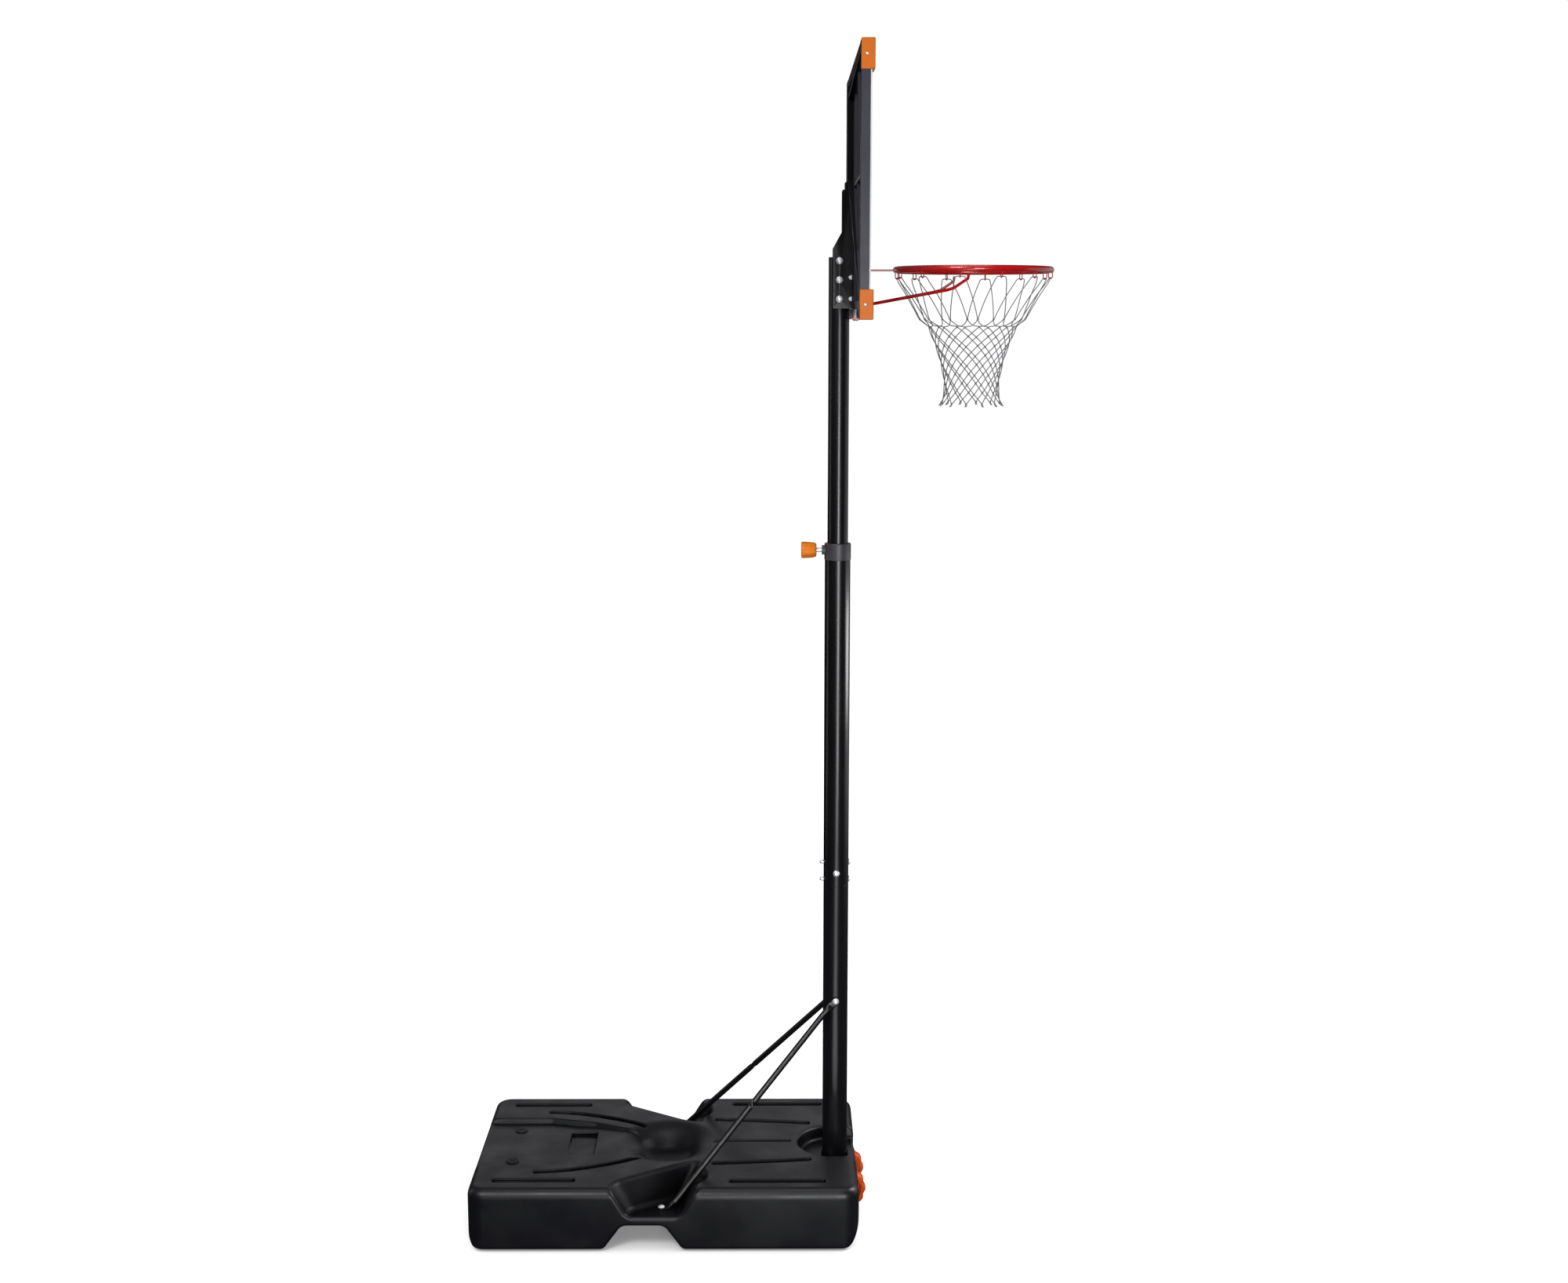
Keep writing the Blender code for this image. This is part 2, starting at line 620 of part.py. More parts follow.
def build_base():
    tank = base_block("base_tank", 0.0, STAND)
    base_features(0.0, BASE_CUTS)
    base_features(BASE_WALL, CAVITY_CUTS)
    for name, grow, collection in (("window", 0, BASE_CUTS), ("window_wall", BASE_WALL, CAVITY_CUTS)):
        half_length = WINDOW_LENGTH / 2 + grow
        half_width = WINDOW_WIDTH / 2 + grow
        box = box_mesh((-half_length, -half_width, -WINDOW_DEPTH - grow), (half_length, half_width, 0.01))
        tool(name, box, None, (WINDOW_CENTRE, 0, PLATFORM_TOP), collection)
    socket = box_mesh((-SOCKET_HALF_LENGTH, -SOCKET_HALF_WIDTH, POLE_FOOT - GAP),
                      (SOCKET_HALF_LENGTH, SOCKET_HALF_WIDTH, DISH_FLOOR + 0.01))
    tool("pole_socket", socket, collection=BASE_CUTS)
    axle_bore = rod_mesh(AXLE_RADIUS + HOLE_CLEARANCE, 2 * WELL_INNER_FACE + 0.02, 16)
    tool("axle_bore", axle_bore, AXIS_Y, (AXLE_X, 0, AXLE_HEIGHT), BASE_CUTS)
    pole_block = box_mesh((WELL_REAR - BASE_WALL, -WELL_OUTER_FACE - BASE_WALL, -0.01),
                          (BASE_FRONT + 0.02, WELL_OUTER_FACE + BASE_WALL, DISH_FLOOR))
    tool("pole_block", pole_block, collection=CAVITY_CUTS)
    for side, label in ((1, "left"), (-1, "right")):
        near, far = sorted((side * WELL_INNER_FACE, side * WELL_OUTER_FACE))
        well = box_mesh((WELL_REAR, near, -0.01), (BASE_FRONT + 0.02, far, WELL_TOP))
        tool("wheel_well_" + label, well, collection=BASE_CUTS)
        bore = rod_mesh(HOLE_RADIUS, POCKET_FLOOR, 12)
        where = (STRUT_FOOT_X, side * STRUT_FOOT_Y, POCKET_FLOOR)
        tool("strut_bore_" + label, bore, None, where, BASE_CUTS)
        boss = rod_mesh(3 * BOLT_RADIUS, POCKET_FLOOR, 8)
        tool("strut_boss_" + label, boss, None, where, CAVITY_CUTS)
    cavity = base_block("water_space", BASE_WALL, TOOLS)
    combine(cavity, CAVITY_CUTS)
    combine(tank, BASE_CUTS)
    combine(tank, cavity)
    for side, label in ((1, "left"), (-1, "right")):
        hole = rod_mesh(FILLER_HOLE_RADIUS, 0.06, 16)
        hole_tool = tool("filler_hole_" + label, hole, None, (FILLER_X, side * FILLER_Y, PLATFORM_TOP))
        combine(tank, hole_tool)


def build_plugs():
    """Push-in filler plugs, each with a round finger recess in its head."""
    stem = FILLER_HOLE_RADIUS - GAP * 2
    head = PLUG_FLANGE_HEIGHT
    recess = head - PLUG_RECESS_DEPTH
    profile = [(0, recess), (PLUG_RECESS_RADIUS - 0.001, recess), (PLUG_RECESS_RADIUS, head),
               (PLUG_FLANGE_RADIUS - 0.001, head), (PLUG_FLANGE_RADIUS, head - 0.001),
               (PLUG_FLANGE_RADIUS, GAP), (stem, GAP), (stem, -PLUG_STEM_LENGTH + 0.003),
               (stem - 0.002, -PLUG_STEM_LENGTH), (0, -PLUG_STEM_LENGTH)]
    for side, label in ((1, "left"), (-1, "right")):
        mesh = turned_mesh(profile, 16, closed=False)
        add("filler_plug_" + label, mesh, BLACK_RUBBER, None, None, (FILLER_X, side * FILLER_Y, PLATFORM_TOP))


def wheel_mesh():
    """A moulded wheel with a scalloped tread, a hollow on its outer face and a hub."""
    half = WHEEL_WIDTH / 2
    bore = AXLE_RADIUS + HOLE_CLEARANCE
    hub_end = WELL_INNER_FACE + GAP - WHEEL_INNER_FACE - half
    profile = [(WHEEL_HUB_RADIUS, half), (WHEEL_HUB_RADIUS + 0.004, half - WHEEL_RIM_DEPTH),
               (WHEEL_RIM_RADIUS - 0.004, half - WHEEL_RIM_DEPTH), (WHEEL_RIM_RADIUS, half),
               (WHEEL_RADIUS - 0.006, half), (WHEEL_RADIUS, half - 0.008),
               (WHEEL_RADIUS, -half + 0.008), (WHEEL_RADIUS - 0.006, -half), (WHEEL_HUB_RADIUS, -half),
               (WHEEL_HUB_RADIUS, hub_end), (bore, hub_end), (bore, half)]
    mesh = turned_mesh(profile, 3 * WHEEL_LOBES)
    for vertex in mesh.vertices:
        radius = math.hypot(vertex.co.x, vertex.co.y)
        if radius > WHEEL_RADIUS - 0.001:
            angle = math.atan2(vertex.co.y, vertex.co.x)
            scale = 1 - WHEEL_LOBE_DEPTH * (0.5 - 0.5 * math.cos(WHEEL_LOBES * angle)) / radius
            vertex.co.x *= scale
            vertex.co.y *= scale
    return mesh


def build_wheels():
    mid = WHEEL_INNER_FACE + WHEEL_WIDTH / 2
    for side, label in ((1, "left"), (-1, "right")):
        mesh = wheel_mesh()
        turn = AXIS_Y if side < 0 else AXIS_Y @ FLIP
        add("wheel_" + label, mesh, WHEEL_PLASTIC, None, turn, (AXLE_X, side * mid, AXLE_HEIGHT))
    cap_inner = WHEEL_INNER_FACE + WHEEL_WIDTH + GAP
    blind = AXLE_CAP_LENGTH - 0.002
    axle = rod_mesh(AXLE_RADIUS, 2 * (cap_inner + blind - GAP), 12)
    add("wheel_axle", axle, ZINC, None, AXIS_Y, (AXLE_X, 0, AXLE_HEIGHT))
    bore = AXLE_RADIUS + HOLE_CLEARANCE
    profile = [(0, AXLE_CAP_LENGTH), (AXLE_CAP_RADIUS * 0.6, AXLE_CAP_LENGTH),
               (AXLE_CAP_RADIUS, AXLE_CAP_LENGTH * 0.5), (AXLE_CAP_RADIUS, 0),
               (bore, 0), (bore, blind), (0, blind)]
    for side, label in ((1, "left"), (-1, "right")):
        turn = AXIS_Y if side < 0 else AXIS_Y @ FLIP
        where = (AXLE_X, side * cap_inner, AXLE_HEIGHT)
        add("axle_end_cap_" + label, turned_mesh(profile, 12, closed=False), ZINC, None, turn, where)


def bolt_mesh(length, head_radius=BOLT_HEAD_RADIUS, head_height=BOLT_HEAD_HEIGHT, shank=BOLT_RADIUS):
    """A domed flange bolt: its head stands on local z = 0 and its shank runs down from there."""
    profile = [(0, head_height), (head_radius * 0.45, head_height), (head_radius * 0.75, head_height * 0.55),
               (head_radius, head_height * 0.25), (head_radius, 0), (shank, 0), (shank, -length + 0.001),
               (shank - 0.001, -length), (0, -length)]
    return turned_mesh(profile, 8, closed=False)


def nut_mesh(height=NUT_HEIGHT, bolt=BOLT_RADIUS):
    """A hexagon nut above local z = 0."""
    corner = NUT_ACROSS_FLATS / 2 / math.cos(math.pi / 6)
    mesh = sheet_mesh([circle((0, 0), corner, 6), circle((0, 0), bolt + HOLE_CLEARANCE, 12)], height)
    mesh.transform(Matrix.Translation((0, 0, height / 2)))
    return mesh


def acorn_nut_mesh():
    """A domed nut above local z = 0, with a blind bore for the bolt's tip."""
    corner = NUT_ACROSS_FLATS / 2
    bore = BOLT_RADIUS + HOLE_CLEARANCE
    profile = [(0, 0.0130), (corner * 0.55, 0.0118), (corner * 0.9, 0.0085), (corner, 0.0060), (corner, 0),
               (bore, 0), (bore, BOLT_TIP), (0, BOLT_TIP)]
    return turned_mesh(profile, 12, closed=False)


def bolted(name, seat, far_seat, nut=None):
    """A bolt from its head's seat to its nut's seat, and the nut unless nut is False."""
    seat = Vector(seat)
    far_seat = Vector(far_seat)
    outward = (seat - far_seat).normalized()
    turn = outward.to_track_quat("Z", "Y").to_matrix().to_4x4()
    grip = (seat - far_seat).length + BOLT_TIP
    add(name + "_bolt", bolt_mesh(grip), ZINC, None, turn, seat + outward * GAP)
    if nut is not False:
        add(name + "_nut", nut or nut_mesh(), ZINC, None, turn @ FLIP, far_seat - outward * GAP)


def tube_profile(outer, inner, low, high):
    return [(outer, high), (outer, low), (inner, low), (inner, high)]


def cut_through(obj, axis, places, radius=HOLE_RADIUS, length=0.2, steps=12):
    """Round holes through an object along one axis."""
    rod = rod_mesh(radius, length, steps)
    holes = group_mesh([(rod, place(axis, where)) for where in places])
    combine(obj, tool(obj.name + "_holes_%d" % len(obj.modifiers), holes))


def flatness(height):
    """How far the lower pole is pressed flat at a height: 1 is round."""
    share = min(max((FLAT_TOP - height) / (FLAT_TOP - FLAT_BOTTOM), 0), 1)
    smooth = share * share * (3 - 2 * share)
    return 1 - (1 - FLAT_RATIO) * smooth


def build_poles():
    neck = POLE_BORE - GAP
    heights = [SEAM - 0.004, FLAT_TOP]
    heights += [FLAT_TOP + (FLAT_BOTTOM - FLAT_TOP) * i / 5 for i in range(1, 6)]
    heights.append(POLE_FOOT)
    outer = [(neck, SEAM + NECK_LENGTH), (neck, SEAM + GAP), (POLE_RADIUS, SEAM)]
    outer += [(POLE_RADIUS, height) for height in heights[1:]]
    inner = [(POLE_BORE, height) for height in reversed(heights)]
    inner += [(neck - POLE_WALL, SEAM + 0.002), (neck - POLE_WALL, SEAM + NECK_LENGTH)]
    mesh = turned_mesh(outer + inner)
    for vertex in mesh.vertices:
        vertex.co.y *= flatness(vertex.co.z)
    lower = add("pole_lower", mesh, BLACK_STEEL)
    middle_profile = tube_profile(POLE_RADIUS, POLE_BORE, SEAM + 2 * GAP, COLLAR_BASE - GAP)
    middle = add("pole_middle", turned_mesh(middle_profile), BLACK_STEEL)
    upper_bore = UPPER_POLE_RADIUS - POLE_WALL
    upper_profile = tube_profile(UPPER_POLE_RADIUS, upper_bore, UPPER_POLE_BOTTOM, UPPER_POLE_TOP)
    upper = add("pole_upper", turned_mesh(upper_profile), BLACK_STEEL)

    along_x = [(0, 0, SEAM + height) for height in SEAM_BOLTS_ALONG_X]
    along_y = [(0, 0, SEAM + SEAM_BOLT_ALONG_Y)]
    for pole in (lower, middle):
        cut_through(pole, AXIS_X, along_x)
        cut_through(pole, AXIS_Y, along_y)
    cut_through(lower, AXIS_Y, [(0, 0, STRUT_POLE_HEIGHT)])
    cut_through(lower, AXIS_Y, [(AXLE_X, 0, AXLE_HEIGHT)], AXLE_RADIUS + HOLE_CLEARANCE)
    cut_through(upper, AXIS_Y, [(0, 0, BRACKET_BOTTOM + height) for height in BRACKET_POLE_BOLTS])

    for label, (_, _, z) in zip(("low", "high"), along_x):
        bolted("seam_%s" % label, (POLE_RADIUS, 0, z), (-POLE_RADIUS, 0, z), acorn_nut_mesh())
    for _, _, z in along_y:
        bolted("seam_cross", (0, -POLE_RADIUS, z), (0, POLE_RADIUS, z), acorn_nut_mesh())

    plug = upper_bore - GAP
    cap_top = UPPER_POLE_TOP + POLE_CAP_THICKNESS
    cap_seat = UPPER_POLE_TOP + GAP
    stem_end = UPPER_POLE_TOP - POLE_CAP_STEM
    cap_profile = [(0, cap_top), (UPPER_POLE_RADIUS - 0.001, cap_top), (UPPER_POLE_RADIUS, cap_top - 0.001),
                   (UPPER_POLE_RADIUS, cap_seat), (plug, cap_seat), (plug, stem_end), (0, stem_end)]
    add("pole_top_cap", turned_mesh(cap_profile, closed=False), BLACK_RUBBER)

    bush_outer = POLE_BORE - SLIDE_CLEARANCE
    bush_inner = UPPER_POLE_RADIUS + GAP
    lip = UPPER_POLE_BOTTOM - GAP
    bush_profile = [(bush_outer, UPPER_POLE_BOTTOM + GUIDE_BUSH_LENGTH), (bush_outer, lip - 0.003),
                    (upper_bore, lip - 0.003), (upper_bore, lip), (bush_inner, lip),
                    (bush_inner, UPPER_POLE_BOTTOM + GUIDE_BUSH_LENGTH)]
    add("pole_guide_bush", turned_mesh(bush_profile), COLLAR_PLASTIC)


def build_clamp():
    """The collar on the middle pole, and the hand screw that clamps the upper pole."""
    slide_bore = UPPER_POLE_RADIUS + SLIDE_CLEARANCE
    spigot = POLE_BORE - GAP
    profile = [(COLLAR_RADIUS - 0.002, COLLAR_BASE + COLLAR_HEIGHT),
               (COLLAR_RADIUS, COLLAR_BASE + COLLAR_HEIGHT - 0.003), (COLLAR_RADIUS, COLLAR_BASE),
               (spigot, COLLAR_BASE), (spigot, COLLAR_BASE - COLLAR_SPIGOT),
               (slide_bore, COLLAR_BASE - COLLAR_SPIGOT), (slide_bore, COLLAR_BASE + COLLAR_HEIGHT)]
    collar = add("height_collar", turned_mesh(profile), COLLAR_PLASTIC)
    boss_root = COLLAR_RADIUS - 0.004
    boss = rod_mesh(BOSS_RADIUS, BOSS_REACH - boss_root, 16)
    boss_x = -(BOSS_REACH + boss_root) / 2
    combine(collar, tool("collar_boss", boss, AXIS_X, (boss_x, 0, SCREW_HEIGHT)), "UNION")
    bore = rod_mesh(SCREW_RADIUS + HOLE_CLEARANCE, BOSS_REACH, 16)
    combine(collar, tool("screw_bore", bore, AXIS_X, (-BOSS_REACH, 0, SCREW_HEIGHT)))

    tip = UPPER_POLE_RADIUS + GAP
    root = KNOB_INNER_END + KNOB_BORE_DEPTH - GAP
    stud = rod_mesh(SCREW_RADIUS, root - tip, 16)
    middle = -(tip + root) / 2
    add("lock_screw", stud, ZINC, None, AXIS_X @ Matrix.Translation((0, 0, middle)), (0, 0, SCREW_HEIGHT))

    outer_end = KNOB_INNER_END + KNOB_LENGTH
    bore_radius = SCREW_RADIUS + HOLE_CLEARANCE
    knob_profile = [(0, outer_end), (KNOB_RADIUS - 0.005, outer_end), (KNOB_RADIUS, outer_end - 0.004),
                    (KNOB_RADIUS, outer_end - 0.020), (KNOB_HUB_RADIUS + 0.003, KNOB_INNER_END + 0.004),
                    (KNOB_HUB_RADIUS, KNOB_INNER_END), (bore_radius, KNOB_INNER_END),
                    (bore_radius, KNOB_INNER_END + KNOB_BORE_DEPTH), (0, KNOB_INNER_END + KNOB_BORE_DEPTH)]
    knob = turned_mesh(knob_profile, 4 * KNOB_FLUTES, closed=False)
    for vertex in knob.vertices:
        radius = math.hypot(vertex.co.x, vertex.co.y)
        if radius > KNOB_HUB_RADIUS + 0.001:
            angle = math.atan2(vertex.co.y, vertex.co.x)
            scale = 1 - KNOB_FLUTE_DEPTH * (0.5 - 0.5 * math.cos(KNOB_FLUTES * angle)) / radius
            vertex.co.x *= scale
            vertex.co.y *= scale
    turn = Matrix.Rotation(-math.pi / 2, 4, "Y")
    add("lock_knob", knob, ORANGE_PLASTIC, None, turn, (0, 0, SCREW_HEIGHT))


def ear_outline(reach):
    """A flattened tube end: round about its hole, square where the tube begins."""
    half = EAR_WIDTH / 2
    points = [(-reach, -half), (0, -half)]
    for i in range(1, 6):
        angle = math.pi * (i / 6 - 0.5)
        points.append((half * math.cos(angle), half * math.sin(angle)))
    points += [(0, half), (-reach, half)]
    return points


def build_struts():
    """Two struts from the pole's sides down to the base's side pockets."""
    foot_z = POCKET_FLOOR + GAP + EAR_THICKNESS / 2
    for side, label in ((1, "left"), (-1, "right")):
        ear_y = side * (POLE_RADIUS + GAP + EAR_THICKNESS / 2)
        top = Vector((0, ear_y, STRUT_POLE_HEIGHT))
        foot = Vector((STRUT_FOOT_X, side * STRUT_FOOT_Y, foot_z))
        top_turn = math.atan2(top.z - foot.z, top.x - foot.x)
        upper_ear = sheet_mesh([ear_outline(EAR_LENGTH), circle((0, 0), HOLE_RADIUS)], EAR_THICKNESS)
        upper_matrix = Matrix.Translation(top) @ AXIS_Y @ Matrix.Rotation(top_turn, 4, "Z")
        foot_heading = math.atan2(foot.y - top.y, foot.x - top.x)
        lower_ear = sheet_mesh([ear_outline(EAR_LENGTH), circle((0, 0), HOLE_RADIUS)], EAR_THICKNESS)
        lower_matrix = Matrix.Translation(foot) @ Matrix.Rotation(foot_heading, 4, "Z")
        back = Vector((math.cos(top_turn), 0, math.sin(top_turn)))
        ahead = Vector((math.cos(foot_heading), math.sin(foot_heading), 0))
        start = top - back * (EAR_LENGTH - 0.006)
        end = foot - ahead * (EAR_LENGTH - 0.006) + Vector((0, 0, STRUT_RADIUS - EAR_THICKNESS / 2 + 0.001))
        rise = start - back * 0.030 + Vector((0, side * STRUT_RADIUS, 0))
        dip = end - ahead * 0.020 + Vector((0, 0, 0.008))
        start += Vector((0, side * (STRUT_RADIUS - EAR_THICKNESS / 2 + 0.001), 0))
        bar = tube_mesh([start, rise, dip, end], STRUT_RADIUS)
        strut = add("strut_" + label, bar, BLACK_STEEL)
        combine(strut, tool("strut_ear_top_" + label, upper_ear, upper_matrix), "UNION")
        combine(strut, tool("strut_ear_foot_" + label, lower_ear, lower_matrix), "UNION")
    ear_face = POLE_RADIUS + GAP + EAR_THICKNESS
    bolted("strut_pole", (0, -ear_face, STRUT_POLE_HEIGHT), (0, ear_face, STRUT_POLE_HEIGHT))
    seat = POCKET_FLOOR + GAP + EAR_THICKNESS
    end = TUNNEL_HEIGHT + BOLT_TIP
    for side, label in ((1, "left"), (-1, "right")):
        y = side * STRUT_FOOT_Y
        bolted("strut_base_" + label, (STRUT_FOOT_X, y, seat), (STRUT_FOOT_X, y, end), False)


def build_bracket():
    """Two bent plates that bolt to the pole and carry the board."""
    bottom = BRACKET_BOTTOM
    front = FLANGE_FROM_AXIS + BRACKET_SHEET
    plate = [(BRACKET_REAR, bottom), (front - 0.0005, bottom), (front - 0.0005, bottom + BRACKET_HEIGHT),
             (BRACKET_UPPER_REAR, bottom + BRACKET_HEIGHT), (BRACKET_UPPER_REAR, bottom + BRACKET_WAIST),
             (BRACKET_REAR, bottom + BRACKET_SHOULDER)]
    holes = [circle((0, bottom + height), HOLE_RADIUS) for height in BRACKET_POLE_BOLTS]
    plate_y = SIDE_PLATE_FACE + BRACKET_SHEET / 2
    for side, label in ((1, "left"), (-1, "right")):
        sheet = sheet_mesh([plate] + holes, BRACKET_SHEET)
        bracket = add("pole_bracket_" + label, sheet, BLACK_STEEL, None, AXIS_Y, (0, side * plate_y, 0))
        inner = SIDE_PLATE_FACE + 0.0005
        waist = bottom + BRACKET_WAIST
        top = bottom + BRACKET_HEIGHT
        upper_reach = FLANGE_REACH * 0.7
        reach = side * FLANGE_REACH
        flange = [(side * inner, bottom), (reach, bottom), (reach, bottom + BRACKET_SHOULDER),
                  (side * upper_reach, waist), (side * upper_reach, top), (side * inner, top)]
        bolt_y = side * RIM_BOLT_Y
        bolt_holes = [circle((bolt_y, BOARD_BOTTOM + height), HOLE_RADIUS) for height in RIM_BOLT_HEIGHTS]
        flange_sheet = sheet_mesh([flange] + bolt_holes, BRACKET_SHEET)
        flange_x = FLANGE_FROM_AXIS + BRACKET_SHEET / 2
        flange_tool = tool("flange_" + label, flange_sheet, AXIS_X, (flange_x, 0, 0))
        combine(bracket, flange_tool, "UNION")
    face = SIDE_PLATE_FACE + BRACKET_SHEET
    for label, height in zip(("low", "middle", "high"), BRACKET_POLE_BOLTS):
        bolted("bracket_" + label, (0, -face, bottom + height), (0, face, bottom + height))


def frame_cells():
    """The hollows in the frame's back, between its bars and ribs, as Y and Z outlines."""
    half = BOARD_WIDTH / 2 - FRAME_BAR
    low = BOARD_BOTTOM + RAIL_NOTCH_HEIGHT + FRAME_BAR
    high = BOARD_TOP - FRAME_BAR
    block_top = BOARD_BOTTOM + CENTRE_BLOCK_HEIGHT
    spine = SIDE_PLATE_FACE - GAP + FRAME_RIB
    middle = (low + high) / 2
    cells = []
    columns = (spine, CENTRE_BLOCK_HALF_WIDTH + FRAME_RIB, (CENTRE_BLOCK_HALF_WIDTH + half) / 2, half)
    rib = FRAME_RIB / 2
    for side in (1, -1):
        for number in range(3):
            inner = columns[number] + (rib if number else 0)
            outer = columns[number + 1] - (rib if number < 2 else 0)
            for floor, ceiling in ((low, middle - rib), (middle + rib, high)):
                bottom = max(floor, block_top) if number == 0 else floor
                cells.append([(side * inner, bottom), (side * outer, bottom), (side * outer, ceiling),
                              (side * inner, ceiling)])
    return cells


def build_board():
    depth_middle = FRAME_BACK + FRAME_DEPTH / 2
    half = BOARD_WIDTH / 2
    outline = [(-half, BOARD_BOTTOM), (half, BOARD_BOTTOM), (half, BOARD_TOP), (-half, BOARD_TOP)]
    holes = [circle((side * RIM_BOLT_Y, BOARD_BOTTOM + height), HOLE_RADIUS)
             for side in (1, -1) for height in RIM_BOLT_HEIGHTS]
    frame = add("board_frame", sheet_mesh([outline] + holes, FRAME_DEPTH), FRAME_PLASTIC, None, AXIS_X,
                (depth_middle, 0, 0))
    pocket_depth = FRAME_DEPTH - FRAME_WEB
    cells = sheet_mesh(frame_cells(), pocket_depth + 0.01)
    cell_x = FRAME_BACK + pocket_depth / 2 - 0.005
    combine(frame, tool("frame_cells", cells, AXIS_X, (cell_x, 0, 0)))

    spine_half = SIDE_PLATE_FACE - GAP
    root = FRAME_BACK + FRAME_DEPTH * 0.6
    spine_side = [(root, BOARD_BOTTOM + SPINE_FOOT), (root, BOARD_BOTTOM + SPINE_TOP + 0.05),
                  (FRAME_BACK, BOARD_BOTTOM + SPINE_TOP + 0.05), (SPINE_BACK, BOARD_BOTTOM + SPINE_TOP),
                  (SPINE_BACK, BOARD_BOTTOM + SPINE_STEP), (SPINE_FOOT_BACK, BOARD_BOTTOM + SPINE_STEP),
                  (SPINE_FOOT_BACK, BOARD_BOTTOM + SPINE_FOOT)]
    spine = tool("spine", sheet_mesh([spine_side], 2 * spine_half), AXIS_Y)
    combine(frame, spine, "UNION")
    reach_y = half - FRAME_BAR * 0.5
    top_z = BOARD_TOP - FRAME_BAR * 0.5
    low_z = BOARD_BOTTOM + FRAME_BAR * 0.5
    spine_high = BOARD_BOTTOM + SPINE_TOP - 0.02
    spine_low = BOARD_BOTTOM + SPINE_STEP + 0.02
    for number, (side, corner_z, spine_z) in enumerate((
            (1, top_z, spine_high), (-1, top_z, spine_high), (1, low_z, spine_low), (-1, low_z, spine_low))):
        rib = FRAME_RIB * 0.7
        inside = side * spine_half * 0.5
        outside = side * reach_y
        points = []
        for z_shift in (-rib, rib):
            points += [(SPINE_BACK + 0.002, inside, spine_z + z_shift), (root, inside, spine_z + z_shift),
                       (FRAME_BACK + 0.003, outside, corner_z + z_shift), (root, outside, corner_z + z_shift)]
        combine(frame, tool("diagonal_rib_%d" % number, hull_mesh(points)), "UNION")

    notch_front = FRAME_BACK + FRAME_DEPTH - FRAME_WEB
    notch_half = half - CAP_SIZE - RAIL_NOTCH_MARGIN
    notch = box_mesh((FRAME_BACK - 0.01, -notch_half, BOARD_BOTTOM - 0.01),
                     (notch_front, notch_half, BOARD_BOTTOM + RAIL_NOTCH_HEIGHT))
    combine(frame, tool("rail_notch", notch))
    cut_through(frame, AXIS_Z, [(HOOK_BOLT_X, 0, BOARD_BOTTOM)], HOLE_RADIUS, 2 * HOOK_BOLT_LENGTH + 0.004)

    panel_x = PANEL_BACK + PANEL_THICKNESS / 2
    panel = sheet_mesh([outline] + holes, PANEL_THICKNESS)
    add("board_panel", panel, PANEL_SHEET, None, AXIS_X, (panel_x, 0, 0))
    build_corner_caps(half)


def build_corner_caps(half):
    """Orange covers that clip over the frame and panel at each corner."""
    hole = SCREW_HEAD_RADIUS + 2 * GAP
    shank_hole = CAP_SCREW_SHANK_RADIUS + HOLE_CLEARANCE
    screw_x = FRAME_BACK + FRAME_DEPTH * 0.62
    front = PANEL_FRONT + GAP + CAP_FRONT_WALL
    outer = half + GAP + CAP_WALL
    frame = bpy.data.objects["board_frame"]
    screw_holes = []
    for side, side_label in ((1, "left"), (-1, "right")):
        for end, end_label in ((1, "top"), (-1, "bottom")):
            edge = BOARD_TOP if end > 0 else BOARD_BOTTOM
            far_z = edge + end * (GAP + CAP_WALL)
            near_z = far_z - end * CAP_SIZE
            low = (FRAME_BACK, min(side * outer, side * (outer - CAP_SIZE)), min(far_z, near_z))
            high = (front, max(side * outer, side * (outer - CAP_SIZE)), max(far_z, near_z))
            name = "corner_cap_%s_%s" % (end_label, side_label)
            cap = add(name, box_mesh(low, high), ORANGE_PLASTIC)
            bevel = cap.modifiers.new("edges", "BEVEL")
            bevel.width = 0.002
            bevel.segments = 1
            across = sorted((side * (half + GAP), 0))
            upright = sorted((edge + end * GAP, edge - end * 0.2))
            inside = box_mesh((FRAME_BACK - 0.01, across[0], upright[0]),
                              (PANEL_FRONT + GAP, across[1], upright[1]))
            combine(cap, tool(name + "_inside", inside))
            z = (far_z + near_z) / 2
            cut_through(cap, AXIS_Y, [(screw_x, side * (outer + 0.005), z)], hole, 0.01 + CAP_WALL * 1.2)
            cut_through(cap, AXIS_Y, [(screw_x, side * outer, z)], shank_hole, 0.03)
            seat = side * (outer - CAP_WALL * 0.6 + GAP)
            turn = Matrix.Rotation(-side * math.pi / 2, 4, "X")
            screw = bolt_mesh(CAP_SCREW_LENGTH, SCREW_HEAD_RADIUS, CAP_WALL * 0.5, CAP_SCREW_SHANK_RADIUS)
            add("cap_screw_%s_%s" % (end_label, side_label), screw, ZINC, None, turn, (screw_x, seat, z))
            screw_holes.append((screw_x, side * half, z))
    cut_through(frame, AXIS_Y, screw_holes, shank_hole, 2 * CAP_SCREW_LENGTH, 8)


